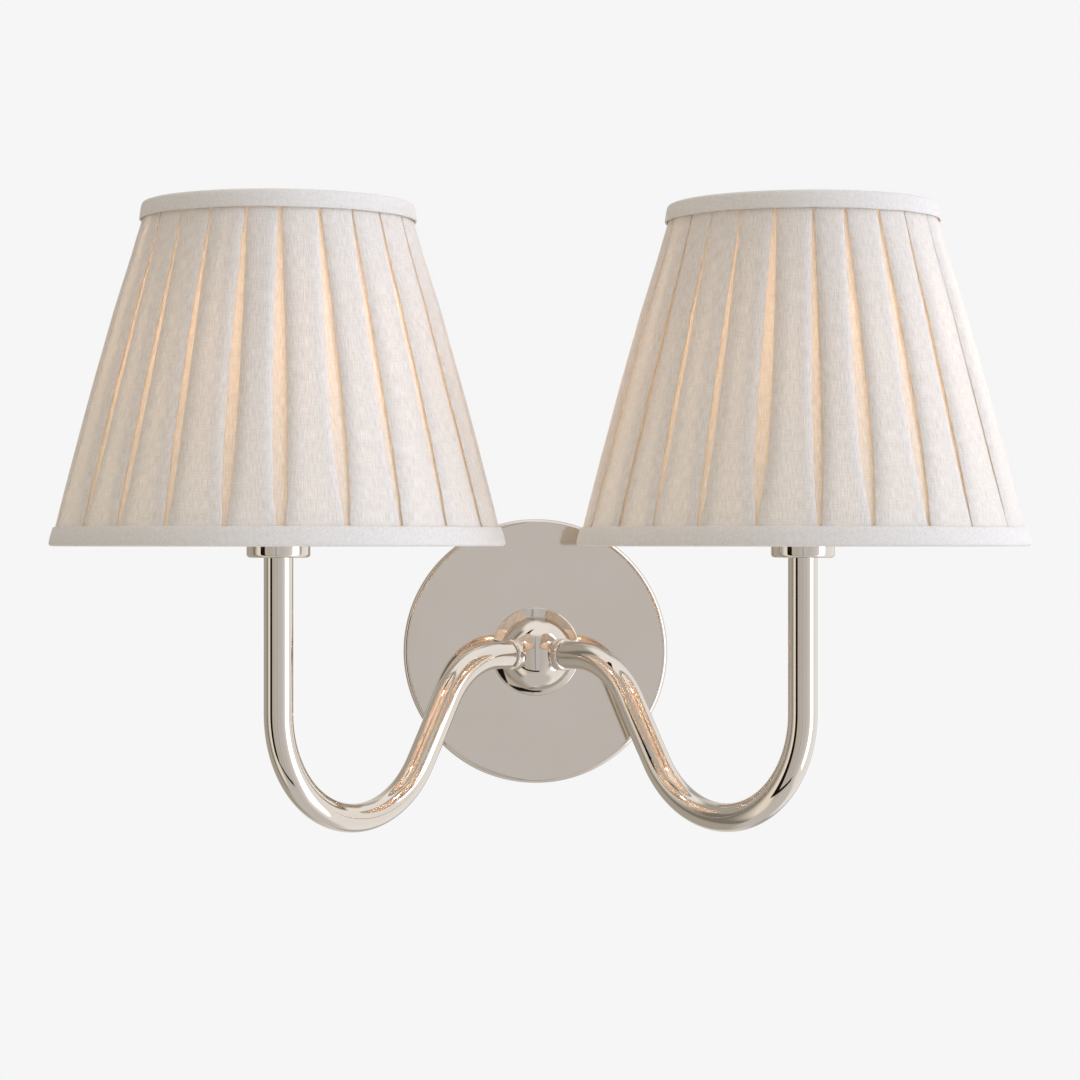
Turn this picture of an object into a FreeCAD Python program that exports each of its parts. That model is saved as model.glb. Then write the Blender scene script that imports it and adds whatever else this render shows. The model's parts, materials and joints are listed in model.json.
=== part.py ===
import FreeCAD, Part
import math
import os
from types import SimpleNamespace

import Sketcher

# Double arm wall sconce, in millimetres. The wall is the plane Y = 0, the front faces -Y and
# Z is up. The origin is the centre of the back face of the round backplate.

SIZES = {
    # Wall fixing and backplate
    "backplate_diameter": 130.0,
    "backplate_depth": 20.0,
    "backplate_wall": 1.5,
    "backplate_edge_radius": 2.4,
    "bracket_thickness": 2.0,
    "bracket_height": 24.0,
    "bracket_clearance": 0.4,
    "tab_reach": 13.0,
    "tongue_width": 34.0,
    "tongue_drop": 48.0,
    "wall_slot_spacing": 70.0,
    "wall_slot_width": 4.6,
    "wall_slot_length": 14.0,
    "cable_entry_diameter": 18.0,
    "side_screw_diameter": 4.0,
    "side_screw_length": 6.6,
    "side_screw_recess": 0.2,
    "side_screw_socket_depth": 2.2,
    "side_screw_depth": 8.0,
    "side_screw_socket": 2.0,
    "earth_screw_diameter": 4.0,
    "earth_screw_head": 7.0,
    "earth_screw_head_height": 2.2,
    "earth_screw_head_radius": 0.7,
    "earth_screw_recess": 0.2,
    "earth_screw_offset": 15.0,
    "terminal_width": 30.0,
    "terminal_height": 17.0,
    "terminal_depth": 13.0,
    "terminal_top": 24.0,
    "terminal_pitch": 10.0,
    "terminal_row_spacing": 9.0,
    "terminal_screw_diameter": 3.0,
    "terminal_screw_length": 3.5,
    "terminal_well_depth": 5.0,
    "terminal_cable_spacing": 10.0,
    # Hub
    "stud_diameter": 10.0,
    "stud_bore": 7.4,
    "stud_tail": 1.8,
    "stud_hub_length": 6.0,
    "washer_diameter": 17.0,
    "washer_thickness": 0.8,
    "nut_across_flats": 14.0,
    "nut_thickness": 3.4,
    "collar_diameter": 43.5,
    "collar_height": 4.6,
    "collar_edge_radius": 0.8,
    "collar_crown_height": 3.4,
    "collar_crown_radius": 44.0,
    "collar_seat_diameter": 26.0,
    "ball_diameter": 35.6,
    "ball_stand_off": 30.0,
    "neck_diameter": 25.0,
    "wire_passage_diameter": 8.0,
    "ferrule_diameter": 15.2,
    "ferrule_length": 4.4,
    "ferrule_edge_radius": 0.9,
    # Arms
    "lamp_spacing": 230.0,
    "arm_turn": 48.0,
    "tube_diameter": 13.0,
    "tube_wall": 1.5,
    "tube_seat": 9.6,
    "shoulder_bend_radius": 41.0,
    "bowl_bend_radius": 49.0,
    "arm_slope": 32.0,
    "arm_drop": 70.5,
    "cup_seat_height": 46.9,
    # Cups and lampholders
    "nipple_bore": 7.0,
    "nipple_depth": 12.0,
    "nipple_rise": 9.0,
    "cup_diameter": 28.0,
    "cup_height": 17.0,
    "cup_wall": 1.0,
    "cup_edge_radius": 1.6,
    "holder_height": 52.0,
    "holder_body_diameter": 25.0,
    "holder_flange_diameter": 34.0,
    "holder_flange_height": 22.0,
    "holder_flange_thickness": 2.0,
    "holder_thread_diameter": 28.0,
    "holder_thread_length": 22.0,
    "holder_mouth_diameter": 16.4,
    "holder_chamber_diameter": 14.0,
    "holder_chamber_height": 15.0,
    "holder_floor_thickness": 5.0,
    "shell_wall": 0.5,
    "shell_length": 20.0,
    "shell_lift": 6.0,
    "contact_diameter": 9.0,
    "contact_height": 4.0,
    "contact_base_height": 1.3,
    "contact_stem_diameter": 4.5,
    "shade_ring_diameter": 36.0,
    "shade_ring_height": 6.0,
    "shade_ring_flutes": 24,
    "flute_diameter": 2.0,
    "flute_depth": 0.5,
    # Bulbs
    "bulb_gap": 0.3,
    "bulb_cap_diameter": 13.8,
    "bulb_cap_length": 21.0,
    "bulb_cap_wall": 0.4,
    "bulb_insulator_length": 3.0,
    "bulb_tip_diameter": 8.4,
    "bulb_tip_length": 1.4,
    "bulb_tip_chamfer": 0.7,
    "bulb_diameter": 35.0,
    "bulb_centre": 54.0,
    "bulb_neck_diameter": 12.4,
    "bulb_neck_radius": 10.0,
    "bulb_flame_radius": 60.0,
    "bulb_point_radius": 2.5,
    "bulb_glass_wall": 0.7,
    "bulb_glass_start": 21.0,
    "filament_count": 4,
    "filament_length": 32.0,
    "filament_diameter": 1.8,
    "filament_circle": 8.0,
    "stem_diameter": 2.6,
    "stem_foot_diameter": 5.2,
    "stem_disc_diameter": 10.4,
    "stem_disc_thickness": 1.0,
    # Shades
    "cup_reveal": 5.1,
    "shade_base_diameter": 200.0,
    "shade_top_diameter": 118.0,
    "shade_height": 150.0,
    "trim_thickness": 0.9,
    "trim_edge_chamfer": 0.6,
    "trim_inner_leg": 6.0,
    "top_trim_width": 7.5,
    "bottom_trim_width": 8.0,
    "layer_gap": 0.1,
    "linen_thickness": 0.6,
    "lining_thickness": 0.5,
    "pleat_count": 23,
    "pleat_rise": 1.2,
    "valley_at_hem": 0.7,
    "valley_low": 4.2,
    "valley_high": 4.6,
    "valley_at_top": 0.5,
    "valley_low_share": 0.26,
    "valley_high_share": 0.70,
    "left_valley_bearing": 5.0,
    "right_valley_bearing": 0.0,
    "ring_wire_diameter": 3.0,
    "strut_wire_diameter": 2.2,
    "strut_count": 6,
    "carrier_diameter": 42.0,
    "carrier_clearance": 0.3,
    "carrier_thickness": 1.2,
    "carrier_arm_diameter": 2.4,
    "carrier_arm_count": 3,
    # Cables inside the arms
    "cable_diameter": 3.0,
    "cable_side_offset": 1.7,
    "cable_rise_depth": 4.6,
    "cable_entry_radius": 7.0,
    "cable_hub_radius": 12.0,
    "cable_end_rise": 4.0,
    "cable_end_gap": 0.3,
    # Clearances
    "running_clearance": 0.05,
    "turning_clearance": 0.1,
    "hole_clearance": 0.4,
}


class Size:
    """A number that remembers the sheet expression that it comes from."""

    def __init__(self, number, text):
        self.number = float(number)
        self.text = text

    def __add__(self, other):
        other = as_size(other)
        return Size(self.number + other.number, f"({self.text} + {other.text})")

    def __sub__(self, other):
        other = as_size(other)
        return Size(self.number - other.number, f"({self.text} - {other.text})")

    def __mul__(self, other):
        other = as_size(other)
        return Size(self.number * other.number, f"({self.text} * {other.text})")

    def __truediv__(self, other):
        other = as_size(other)
        return Size(self.number / other.number, f"({self.text} / {other.text})")

    def __radd__(self, other):
        return as_size(other) + self

    def __rsub__(self, other):
        return as_size(other) - self

    def __rmul__(self, other):
        return as_size(other) * self

    def __neg__(self):
        return Size(-self.number, f"(-{self.text})")


def as_size(value):
    if isinstance(value, Size):
        return value
    return Size(value, repr(value))


def cosine(angle):
    return Size(math.cos(math.radians(angle.number)), f"cos({angle.text} * 1 deg)")


def sine(angle):
    return Size(math.sin(math.radians(angle.number)), f"sin({angle.text} * 1 deg)")


def tangent(angle):
    return sine(angle) / cosine(angle)


def root(value):
    return Size(math.sqrt(value.number), f"sqrt({value.text})")


doc = FreeCAD.newDocument("WallSconce")
sheet = doc.addObject("Spreadsheet::Sheet", "Sizes")
for row, (alias, value) in enumerate(SIZES.items(), start=1):
    sheet.set(f"A{row}", alias)
    sheet.set(f"B{row}", str(value))
    sheet.setAlias(f"B{row}", alias)
doc.recompute()
d = SimpleNamespace(**{alias: Size(value, f"Sizes.{alias}") for alias, value in SIZES.items()})

subparts = []

# Quarter turn that lays a part built along local Z against the wall, pointing to the room
FROM_WALL = FreeCAD.Rotation(FreeCAD.Vector(1, 0, 0), 90)
UPRIGHT = FreeCAD.Rotation()
SIDES = (("left", -1), ("right", 1))


def turned_about_z(degrees):
    return FreeCAD.Rotation(FreeCAD.Vector(0, 0, 1), degrees)


def place(part, position, rotation=UPRIGHT):
    """Puts a part at a position made of three sizes."""
    position = [as_size(value) for value in position]
    base = FreeCAD.Vector(*[value.number for value in position])
    part.Placement = FreeCAD.Placement(base, rotation)
    for axis, value in zip("xyz", position):
        part.setExpression(f".Placement.Base.{axis}", value.text)


def subpart(kind, label):
    part = doc.addObject(kind, label)
    part.Label = label
    subparts.append(part)
    return part


def bind(item, **values):
    for name, value in values.items():
        value = as_size(value)
        setattr(item, name, value.number)
        item.setExpression(name, value.text)


def origin_part(body, role):
    return next(item for item in body.Origin.OriginFeatures if item.Role == role)


def new_sketch(body, name, plane, lift=None):
    sketch = body.newObject("Sketcher::SketchObject", name)
    sketch.AttachmentSupport = (origin_part(body, plane), [""])
    sketch.MapMode = "FlatFace"
    if lift is not None:
        lift = as_size(lift)
        offset = FreeCAD.Placement(FreeCAD.Vector(0, 0, lift.number), UPRIGHT)
        sketch.AttachmentOffset = offset
        sketch.setExpression(".AttachmentOffset.Base.z", lift.text)
    return sketch


def fix_point(sketch, geometry, position, corner):
    """Ties one point of a sketch to two sizes measured from the sketch origin."""
    for kind, axis, value in (("DistanceX", -2, corner[0]), ("DistanceY", -1, corner[1])):
        value = as_size(value)
        if value.text == "0":
            sketch.addConstraint(Sketcher.Constraint("PointOnObject", geometry, position, axis))
        else:
            rule = Sketcher.Constraint(kind, -1, 1, geometry, position, value.number)
            index = sketch.addConstraint(rule)
            sketch.setExpression(f"Constraints[{index}]", value.text)


def fix_radius(sketch, geometry, radius):
    index = sketch.addConstraint(Sketcher.Constraint("Radius", geometry, radius.number))
    sketch.setExpression(f"Constraints[{index}]", radius.text)


def draw_circle(sketch, centre, radius):
    radius = as_size(radius)
    centre = [as_size(value) for value in centre]
    point = FreeCAD.Vector(centre[0].number, centre[1].number, 0)
    geometry = sketch.addGeometry(Part.Circle(point, FreeCAD.Vector(0, 0, 1), radius.number), False)
    fix_point(sketch, geometry, 3, [zero_or(value) for value in centre])
    fix_radius(sketch, geometry, radius)


def zero_or(value):
    """A size that is a plain nought is held on the sketch axis."""
    return 0 if value.text == "0" else value


def arc_between(start, end, radius, centre_side):
    """Arc under a half circle whose centre lies left or right of the way from start to end."""
    chord = end - start
    half = chord.Length / 2
    rise = math.sqrt(max(radius * radius - half * half, 0))
    left = FreeCAD.Vector(-chord.y, chord.x, 0).normalize()
    turn = 1 if centre_side == "left" else -1
    centre = (start + end) * 0.5 + left * (rise * turn)
    first, last = (start, end) if turn > 0 else (end, start)
    first_angle = math.atan2(first.y - centre.y, first.x - centre.x)
    last_angle = math.atan2(last.y - centre.y, last.x - centre.x)
    circle = Part.Circle(centre, FreeCAD.Vector(0, 0, 1), radius)
    return Part.ArcOfCircle(circle, first_angle, last_angle)


def draw_outline(sketch, corners):
    """Closed outline. A corner is (x, y), or (x, y, radius, side) where an arc leads to it."""
    points = []
    for corner in corners:
        points.append(FreeCAD.Vector(as_size(corner[0]).number, as_size(corner[1]).number, 0))
    ends = []
    first = sketch.GeometryCount
    count = len(corners)
    for index in range(count):
        following = (index + 1) % count
        target = corners[following]
        if len(target) == 2:
            sketch.addGeometry(Part.LineSegment(points[index], points[following]), False)
            ends.append((1, 2))
            continue
        radius = as_size(target[2]).number
        arc = arc_between(points[index], points[following], radius, target[3])
        sketch.addGeometry(arc, False)
        ends.append((1, 2) if target[3] == "left" else (2, 1))
    for index in range(count):
        following = (index + 1) % count
        joint = (first + index, ends[index][1], first + following, ends[following][0])
        sketch.addConstraint(Sketcher.Constraint("Coincident", *joint))
        fix_point(sketch, first + index, ends[index][0], corners[index])
        if len(corners[following]) > 2:
            fix_radius(sketch, first + index, as_size(corners[following][2]))


def revolve(body, name, corners):
    """Turns an outline of (radius, height) corners round the body's own Z axis."""
    sketch = new_sketch(body, f"{name}Outline", "XZ_Plane")
    draw_outline(sketch, corners)
    feature = body.newObject("PartDesign::Revolution", name)
    feature.Profile = sketch
    feature.ReferenceAxis = (sketch, ["V_Axis"])
    feature.Angle = 360
    sketch.Visibility = False
    return feature


def turned_part(label, corners, position, rotation=UPRIGHT):
    body = subpart("PartDesign::Body", label)
    revolve(body, "Turning", corners)
    place(body, position, rotation)
    return body


def cut_through(body, name, plane, draw, length, reverse, lift=None):
    """Pocket along the plane's normal, checked against the volume that it takes away."""
    sketch = new_sketch(body, name + "Outline", plane, lift)
    draw(sketch)
    doc.recompute()
    before = body.Shape.Volume
    pocket = body.newObject("PartDesign::Pocket", name)
    pocket.Profile = sketch
    bind(pocket, Length=length)
    pocket.Reversed = reverse
    doc.recompute()
    if not body.Shape.Volume < before:
        raise RuntimeError(f"{body.Label}: {name} cuts nothing")
    return pocket


def ring_corners(outer, inner, low, high):
    return [(inner, low), (outer, low), (outer, high), (inner, high)]


# Places that several parts share
plate_radius = d.backplate_diameter / 2
plate_inside = plate_radius - d.backplate_wall
plate_floor = d.backplate_depth - d.backplate_wall
ball_depth = d.backplate_depth + d.ball_stand_off
ball_radius = d.ball_diameter / 2
tube_radius = d.tube_diameter / 2
tube_bore = tube_radius - d.tube_wall
arm_reach = d.lamp_spacing / 2 / cosine(d.arm_turn)
lamp_depth = ball_depth + d.lamp_spacing / 2 * tangent(d.arm_turn)
hem_height = d.cup_seat_height + d.cup_reveal


def lamp_axis(sign, height):
    """Point on the upright axis of one lamp, at a height above the origin."""
    return (d.lamp_spacing / 2 * sign, -lamp_depth, height)


def arm_bearing(sign):
    """Direction of one arm seen from above, in degrees from +X."""
    return -d.arm_turn.number if sign > 0 else 180 + d.arm_turn.number


# Backplate: a spun pan with a rounded rim, open towards the wall
def make_backplate():
    edge = d.backplate_edge_radius
    inner_edge = edge - d.backplate_wall
    hole = d.stud_diameter / 2 + d.hole_clearance / 2
    corners = [
        (plate_inside, 0),
        (plate_radius, 0),
        (plate_radius, d.backplate_depth - edge),
        (plate_radius - edge, d.backplate_depth, edge, "left"),
        (hole, d.backplate_depth),
        (hole, plate_floor),
        (plate_radius - edge, plate_floor),
        (plate_inside, d.backplate_depth - edge, inner_edge, "right"),
    ]
    body = turned_part("backplate", corners, (0, 0, 0), FROM_WALL)
    radius = d.side_screw_diameter / 2 + d.hole_clearance / 2

    def holes(sketch):
        draw_circle(sketch, (0, d.side_screw_depth), radius)

    cut_through(body, "SideHoleRight", "YZ_Plane", holes, plate_radius * 2, False)
    cut_through(body, "SideHoleLeft", "YZ_Plane", holes, plate_radius * 2, True)


# Wall bracket: folded strap with two slots, a cable entry and a tongue for the terminals
def make_wall_bracket():
    body = subpart("PartDesign::Body", "wall_bracket")
    half_height = d.bracket_height / 2
    reach = plate_inside - d.bracket_clearance
    tab_face = root(reach * reach - half_height * half_height)
    tab_back = tab_face - d.bracket_thickness
    section = new_sketch(body, "StrapSection", "XZ_Plane")
    corners = [
        (-tab_face, 0),
        (tab_face, 0),
        (tab_face, d.tab_reach),
        (tab_back, d.tab_reach),
        (tab_back, d.bracket_thickness),
        (-tab_back, d.bracket_thickness),
        (-tab_back, d.tab_reach),
        (-tab_face, d.tab_reach),
    ]
    draw_outline(section, corners)
    strap = body.newObject("PartDesign::Pad", "Strap")
    strap.Profile = section
    bind(strap, Length=d.bracket_height)
    strap.Midplane = True
    tongue_sketch = new_sketch(body, "TongueOutline", "XY_Plane")
    half_width = d.tongue_width / 2
    draw_outline(tongue_sketch, [
        (-half_width, -d.tongue_drop),
        (half_width, -d.tongue_drop),
        (half_width, 0),
        (-half_width, 0),
    ])
    tongue = body.newObject("PartDesign::Pad", "Tongue")
    tongue.Profile = tongue_sketch
    bind(tongue, Length=d.bracket_thickness)

    def entry_and_earth(sketch):
        draw_circle(sketch, (0, 0), d.cable_entry_diameter / 2)
        earth_radius = d.earth_screw_diameter / 2 + d.running_clearance
        draw_circle(sketch, (d.earth_screw_offset, 0), earth_radius)

    cut_through(body, "CableEntry", "XY_Plane", entry_and_earth, d.bracket_thickness, True)

    def slot(sketch, sign):
        end = d.wall_slot_width / 2
        middle = d.wall_slot_spacing / 2 * sign
        straight = d.wall_slot_length / 2 - end
        left_end = middle - straight
        right_end = middle + straight
        draw_outline(sketch, [
            (left_end, -end, end, "left"),
            (right_end, -end),
            (right_end + end, 0, end, "left"),
            (right_end, end, end, "left"),
            (left_end, end),
            (left_end - end, 0, end, "left"),
        ])

    def slots(sketch):
        slot(sketch, -1)
        slot(sketch, 1)

    cut_through(body, "WallSlots", "XY_Plane", slots, d.bracket_thickness, True)
    screw_radius = d.side_screw_diameter / 2 + d.running_clearance

    def tab_holes(sketch):
        draw_circle(sketch, (0, d.side_screw_depth), screw_radius)

    cut_through(body, "TabHoleRight", "YZ_Plane", tab_holes, tab_face * 2, False)
    cut_through(body, "TabHoleLeft", "YZ_Plane", tab_holes, tab_face * 2, True)
    place(body, (0, 0, 0), FROM_WALL)


def group(label, members):
    compound = subpart("Part::Compound", label)
    compound.Links = members
    return compound


def drilled_pin(name, radius, length, socket_radius, socket_depth):
    """Grub screw: a pin along local Z with a socket in its far end."""
    pin = doc.addObject("Part::Cylinder", name + "Pin")
    bind(pin, Radius=radius, Height=length)
    socket = doc.addObject("Part::Cylinder", name + "Socket")
    bind(socket, Radius=socket_radius, Height=socket_depth)
    place(socket, (0, 0, length - socket_depth))
    screw = doc.addObject("Part::Cut", name)
    screw.Base = pin
    screw.Tool = socket
    return screw


# Side screws: grub screws through the rim of the backplate into the bracket tabs
def make_side_screws():
    members = []
    for side, sign in SIDES:
        screw = drilled_pin(f"SideScrew{side}", d.side_screw_diameter / 2, d.side_screw_length,
                            d.side_screw_socket / 2, d.side_screw_socket_depth)
        start = plate_radius - d.side_screw_recess - d.side_screw_length
        rotation = FreeCAD.Rotation(FreeCAD.Vector(0, 1, 0), 90 * sign)
        place(screw, (start * sign, -d.side_screw_depth, 0), rotation)
        members.append(screw)
    group("side_screws", members)


def make_earth_screw():
    top = d.bracket_thickness + d.earth_screw_head_height
    radius = d.earth_screw_diameter / 2
    head = d.earth_screw_head / 2
    edge = d.earth_screw_head_radius
    corners = [
        (0, d.earth_screw_recess),
        (radius, d.earth_screw_recess),
        (radius, d.bracket_thickness),
        (head, d.bracket_thickness),
        (head, top - edge),
        (head - edge, top, edge, "left"),
        (0, top),
    ]
    turned_part("earth_screw", corners, (d.earth_screw_offset, 0, 0), FROM_WALL)


# Terminal block: three poles with a clamp screw above and below each
def make_terminal_block():
    body = subpart("PartDesign::Body", "terminal_block")
    sketch = new_sketch(body, "BlockOutline", "XY_Plane", d.bracket_thickness)
    half = d.terminal_width / 2
    low = -d.terminal_top - d.terminal_height
    high = -d.terminal_top
    draw_outline(sketch, [(-half, low), (half, low), (half, high), (-half, high)])
    block = body.newObject("PartDesign::Pad", "Block")
    block.Profile = sketch
    bind(block, Length=d.terminal_depth)
    face = d.bracket_thickness + d.terminal_depth

    def wells(pocket_sketch):
        for x, y in terminal_places():
            radius = d.terminal_screw_diameter / 2 + d.hole_clearance / 2
            draw_circle(pocket_sketch, (x, y), radius)

    cut_through(body, "ScrewWells", "XY_Plane", wells, d.terminal_well_depth, False, face)
    place(body, (0, 0, 0), FROM_WALL)


def terminal_places():
    middle = -d.terminal_top - d.terminal_height / 2
    places = []
    for column in (-1, 0, 1):
        for row in (-1, 1):
            x = d.terminal_pitch * column if column else 0
            places.append((x, middle + d.terminal_row_spacing / 2 * row))
    return places


def make_terminal_screws():
    floor = d.bracket_thickness + d.terminal_depth - d.terminal_well_depth
    members = []
    for index, (x, height) in enumerate(terminal_places()):
        screw = doc.addObject("Part::Cylinder", f"TerminalScrew{index}")
        bind(screw, Radius=d.terminal_screw_diameter / 2, Height=d.terminal_screw_length)
        place(screw, (x, -floor, height), FROM_WALL)
        members.append(screw)
    group("terminal_screws", members)


# Hub stud, washer and nut that clamp backplate, collar and hub together
stud_start = plate_floor - d.washer_thickness - d.nut_thickness - d.stud_tail
collar_face = d.backplate_depth + d.collar_height + d.collar_crown_height


def make_stud_and_nut():
    radius = d.stud_diameter / 2
    corners = ring_corners(radius, d.stud_bore / 2, stud_start, collar_face + d.stud_hub_length)
    turned_part("hub_stud", corners, (0, 0, 0), FROM_WALL)
    hole = radius + d.running_clearance
    washer = ring_corners(d.washer_diameter / 2, hole, plate_floor - d.washer_thickness, plate_floor)
    turned_part("stud_washer", washer, (0, 0, 0), FROM_WALL)
    nut = subpart("PartDesign::Body", "stud_nut")
    nut_face = plate_floor - d.washer_thickness - d.nut_thickness
    sketch = new_sketch(nut, "Hexagon", "XY_Plane", nut_face)
    corner_radius = d.nut_across_flats / 2 / cosine(as_size(30))
    corners = []
    for step in range(6):
        angle = as_size(60 * step)
        y = 0 if step % 3 == 0 else corner_radius * sine(angle)
        corners.append((corner_radius * cosine(angle), y))
    draw_outline(sketch, corners)
    draw_circle(sketch, (0, 0), hole)
    pad = nut.newObject("PartDesign::Pad", "Nut")
    pad.Profile = sketch
    bind(pad, Length=d.nut_thickness)
    place(nut, (0, 0, 0), FROM_WALL)


# Collar: a turned ring with a domed face, between the backplate and the hub
def make_collar():
    radius = d.collar_diameter / 2
    edge = d.collar_edge_radius
    hole = d.stud_diameter / 2 + d.hole_clearance / 2
    foot = d.backplate_depth
    rim = foot + d.collar_height
    corners = [
        (hole, foot),
        (radius, foot),
        (radius, rim - edge),
        (radius - edge, rim, edge, "left"),
        (d.collar_seat_diameter / 2, collar_face, d.collar_crown_radius, "left"),
        (hole, collar_face),
    ]
    turned_part("collar_ring", corners, (0, 0, 0), FROM_WALL)


# Hub: a turned ball on a short neck, drilled for the stud and for both arms
def make_hub():
    neck = d.neck_diameter / 2
    neck_drop = root(ball_radius * ball_radius - neck * neck)
    bore = d.stud_diameter / 2 + d.running_clearance
    stud_end = collar_face + d.stud_hub_length + d.turning_clearance
    passage = d.wire_passage_diameter / 2
    corners = [
        (bore, collar_face),
        (neck, collar_face),
        (neck, ball_depth - neck_drop),
        (ball_radius, ball_depth, ball_radius, "left"),
        (0, ball_depth + ball_radius, ball_radius, "left"),
        (0, ball_depth + passage),
        (passage, ball_depth, passage, "right"),
        (passage, stud_end),
        (bore, stud_end),
    ]
    body = turned_part("hub", corners, (0, 0, 0), FROM_WALL)
    for side, sign in SIDES:
        drill_arm(body, side, sign)


def drill_arm(body, side, sign):
    """Turns the seat and wire passage of one arm out of the hub, about the arm's own axis."""
    seat = tube_radius + d.running_clearance
    passage = d.wire_passage_diameter / 2
    outside = ball_radius + d.ferrule_length
    along_x = cosine(d.arm_turn) * sign
    along_z = sine(d.arm_turn)
    stations = [
        (0, 0),
        (0, outside),
        (seat, outside),
        (seat, d.tube_seat),
        (passage, d.tube_seat),
        (passage, 0),
    ]
    corners = []
    for radius, distance in stations:
        radius = as_size(radius)
        distance = as_size(distance)
        x = along_x * distance + along_z * radius
        depth = ball_depth + along_z * distance - along_x * radius
        corners.append((x, depth))
    corners[0] = (0, ball_depth)
    sketch = new_sketch(body, f"Seat{side}Outline", "XZ_Plane")
    draw_outline(sketch, corners)
    doc.recompute()
    before = body.Shape.Volume
    groove = body.newObject("PartDesign::Groove", f"Seat{side}")
    groove.Profile = sketch
    groove.ReferenceAxis = (sketch, ["Edge1"])
    groove.Angle = 360
    doc.recompute()
    if not body.Shape.Volume < before:
        raise RuntimeError(f"hub: the {side} arm seat cuts nothing")


# Ferrules: slim rings round the arms where they enter the hub
def make_ferrules():
    hole = tube_radius + d.running_clearance
    radius = d.ferrule_diameter / 2
    edge = d.ferrule_edge_radius
    contact = ball_radius + d.running_clearance
    low_inner = root(contact * contact - hole * hole)
    low_outer = root(contact * contact - radius * radius)
    high = low_inner + d.ferrule_length
    corners = [
        (hole, high),
        (hole, low_inner),
        (radius, low_outer, contact, "right"),
        (radius, high - edge),
        (radius - edge, high, edge, "left"),
    ]
    for side, sign in SIDES:
        bearing = turned_about_z(arm_bearing(sign))
        lying = FreeCAD.Rotation(FreeCAD.Vector(0, 1, 0), 90)
        turned_part(f"ferrule_{side}", corners, (0, -ball_depth, 0), bearing * lying)


# Arms: one swan-neck route of straight runs and tangent bends, in an upright plane through the hub
slope_length = (d.arm_drop - (d.shoulder_bend_radius + d.bowl_bend_radius)
                * (1 - sine(d.arm_slope))) / cosine(d.arm_slope)
shoulder_start = (arm_reach - d.bowl_bend_radius
                  - (d.shoulder_bend_radius + d.bowl_bend_radius) * cosine(d.arm_slope)
                  - slope_length * sine(d.arm_slope))
bowl_centre_height = d.bowl_bend_radius - d.arm_drop


def arm_stations():
    """Ends and middles of the runs and bends, as (reach, height) in the arm's own plane."""
    slope = d.arm_slope.number
    shoulder = d.shoulder_bend_radius.number
    bowl = d.bowl_bend_radius.number
    first = FreeCAD.Vector(shoulder_start.number, 0, 0)
    shoulder_centre = first - FreeCAD.Vector(0, shoulder, 0)
    bowl_centre = FreeCAD.Vector(arm_reach.number - bowl, bowl_centre_height.number, 0)

    def around(centre, radius, degrees):
        angle = math.radians(degrees)
        return centre + FreeCAD.Vector(radius * math.cos(angle), radius * math.sin(angle), 0)

    return SimpleNamespace(
        shoulder_start=first,
        shoulder_middle=around(shoulder_centre, shoulder, (90 + slope) / 2),
        shoulder_end=around(shoulder_centre, shoulder, slope),
        bowl_start=around(bowl_centre, bowl, 180 + slope),
        bowl_middle=around(bowl_centre, bowl, 270 + slope / 2),
        bowl_end=around(bowl_centre, bowl, 360),
        shoulder_centre=shoulder_centre,
        bowl_centre=bowl_centre,
    )


def make_arm(side, sign):
    body = subpart("PartDesign::Body", f"arm_{side}")
    route = new_sketch(body, "Route", "XZ_Plane")
    at = arm_stations()
    up = FreeCAD.Vector(0, 0, 1)
    slope = math.radians(d.arm_slope.number)
    start = FreeCAD.Vector(d.tube_seat.number, 0, 0)
    top = FreeCAD.Vector(arm_reach.number, d.cup_seat_height.number, 0)
    shoulder = Part.Circle(at.shoulder_centre, up, d.shoulder_bend_radius.number)
    bowl = Part.Circle(at.bowl_centre, up, d.bowl_bend_radius.number)
    route.addGeometry([
        Part.LineSegment(start, at.shoulder_start),
        Part.ArcOfCircle(shoulder, slope, math.pi / 2),
        Part.LineSegment(at.shoulder_end, at.bowl_start),
        Part.ArcOfCircle(bowl, math.pi + slope, 2 * math.pi),
        Part.LineSegment(at.bowl_end, top),
    ], False)
    route.addConstraint([
        Sketcher.Constraint("Horizontal", 0),
        Sketcher.Constraint("Tangent", 0, 2, 1, 2),
        Sketcher.Constraint("Tangent", 1, 1, 2, 1),
        Sketcher.Constraint("Tangent", 2, 2, 3, 1),
        Sketcher.Constraint("Tangent", 3, 2, 4, 1),
        Sketcher.Constraint("Vertical", 4),
    ])
    fix_point(route, 0, 1, (d.tube_seat, 0))
    fix_radius(route, 1, d.shoulder_bend_radius)
    fix_radius(route, 3, d.bowl_bend_radius)
    fix_point(route, 4, 2, (arm_reach, d.cup_seat_height))
    bowl_height = bowl_centre_height.number
    index = route.addConstraint(Sketcher.Constraint("DistanceY", -1, 1, 3, 3, bowl_height))
    route.setExpression(f"Constraints[{index}]", bowl_centre_height.text)
    section = new_sketch(body, "Section", "YZ_Plane", d.tube_seat)
    draw_circle(section, (0, 0), tube_radius)
    draw_circle(section, (0, 0), tube_bore)
    doc.recompute()
    tube = body.newObject("PartDesign::AdditivePipe", "Tube")
    tube.Profile = section
    tube.Spine = (route, [f"Edge{number}" for number in range(1, 6)])
    place(body, (0, -ball_depth, 0), turned_about_z(arm_bearing(sign)))


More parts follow.
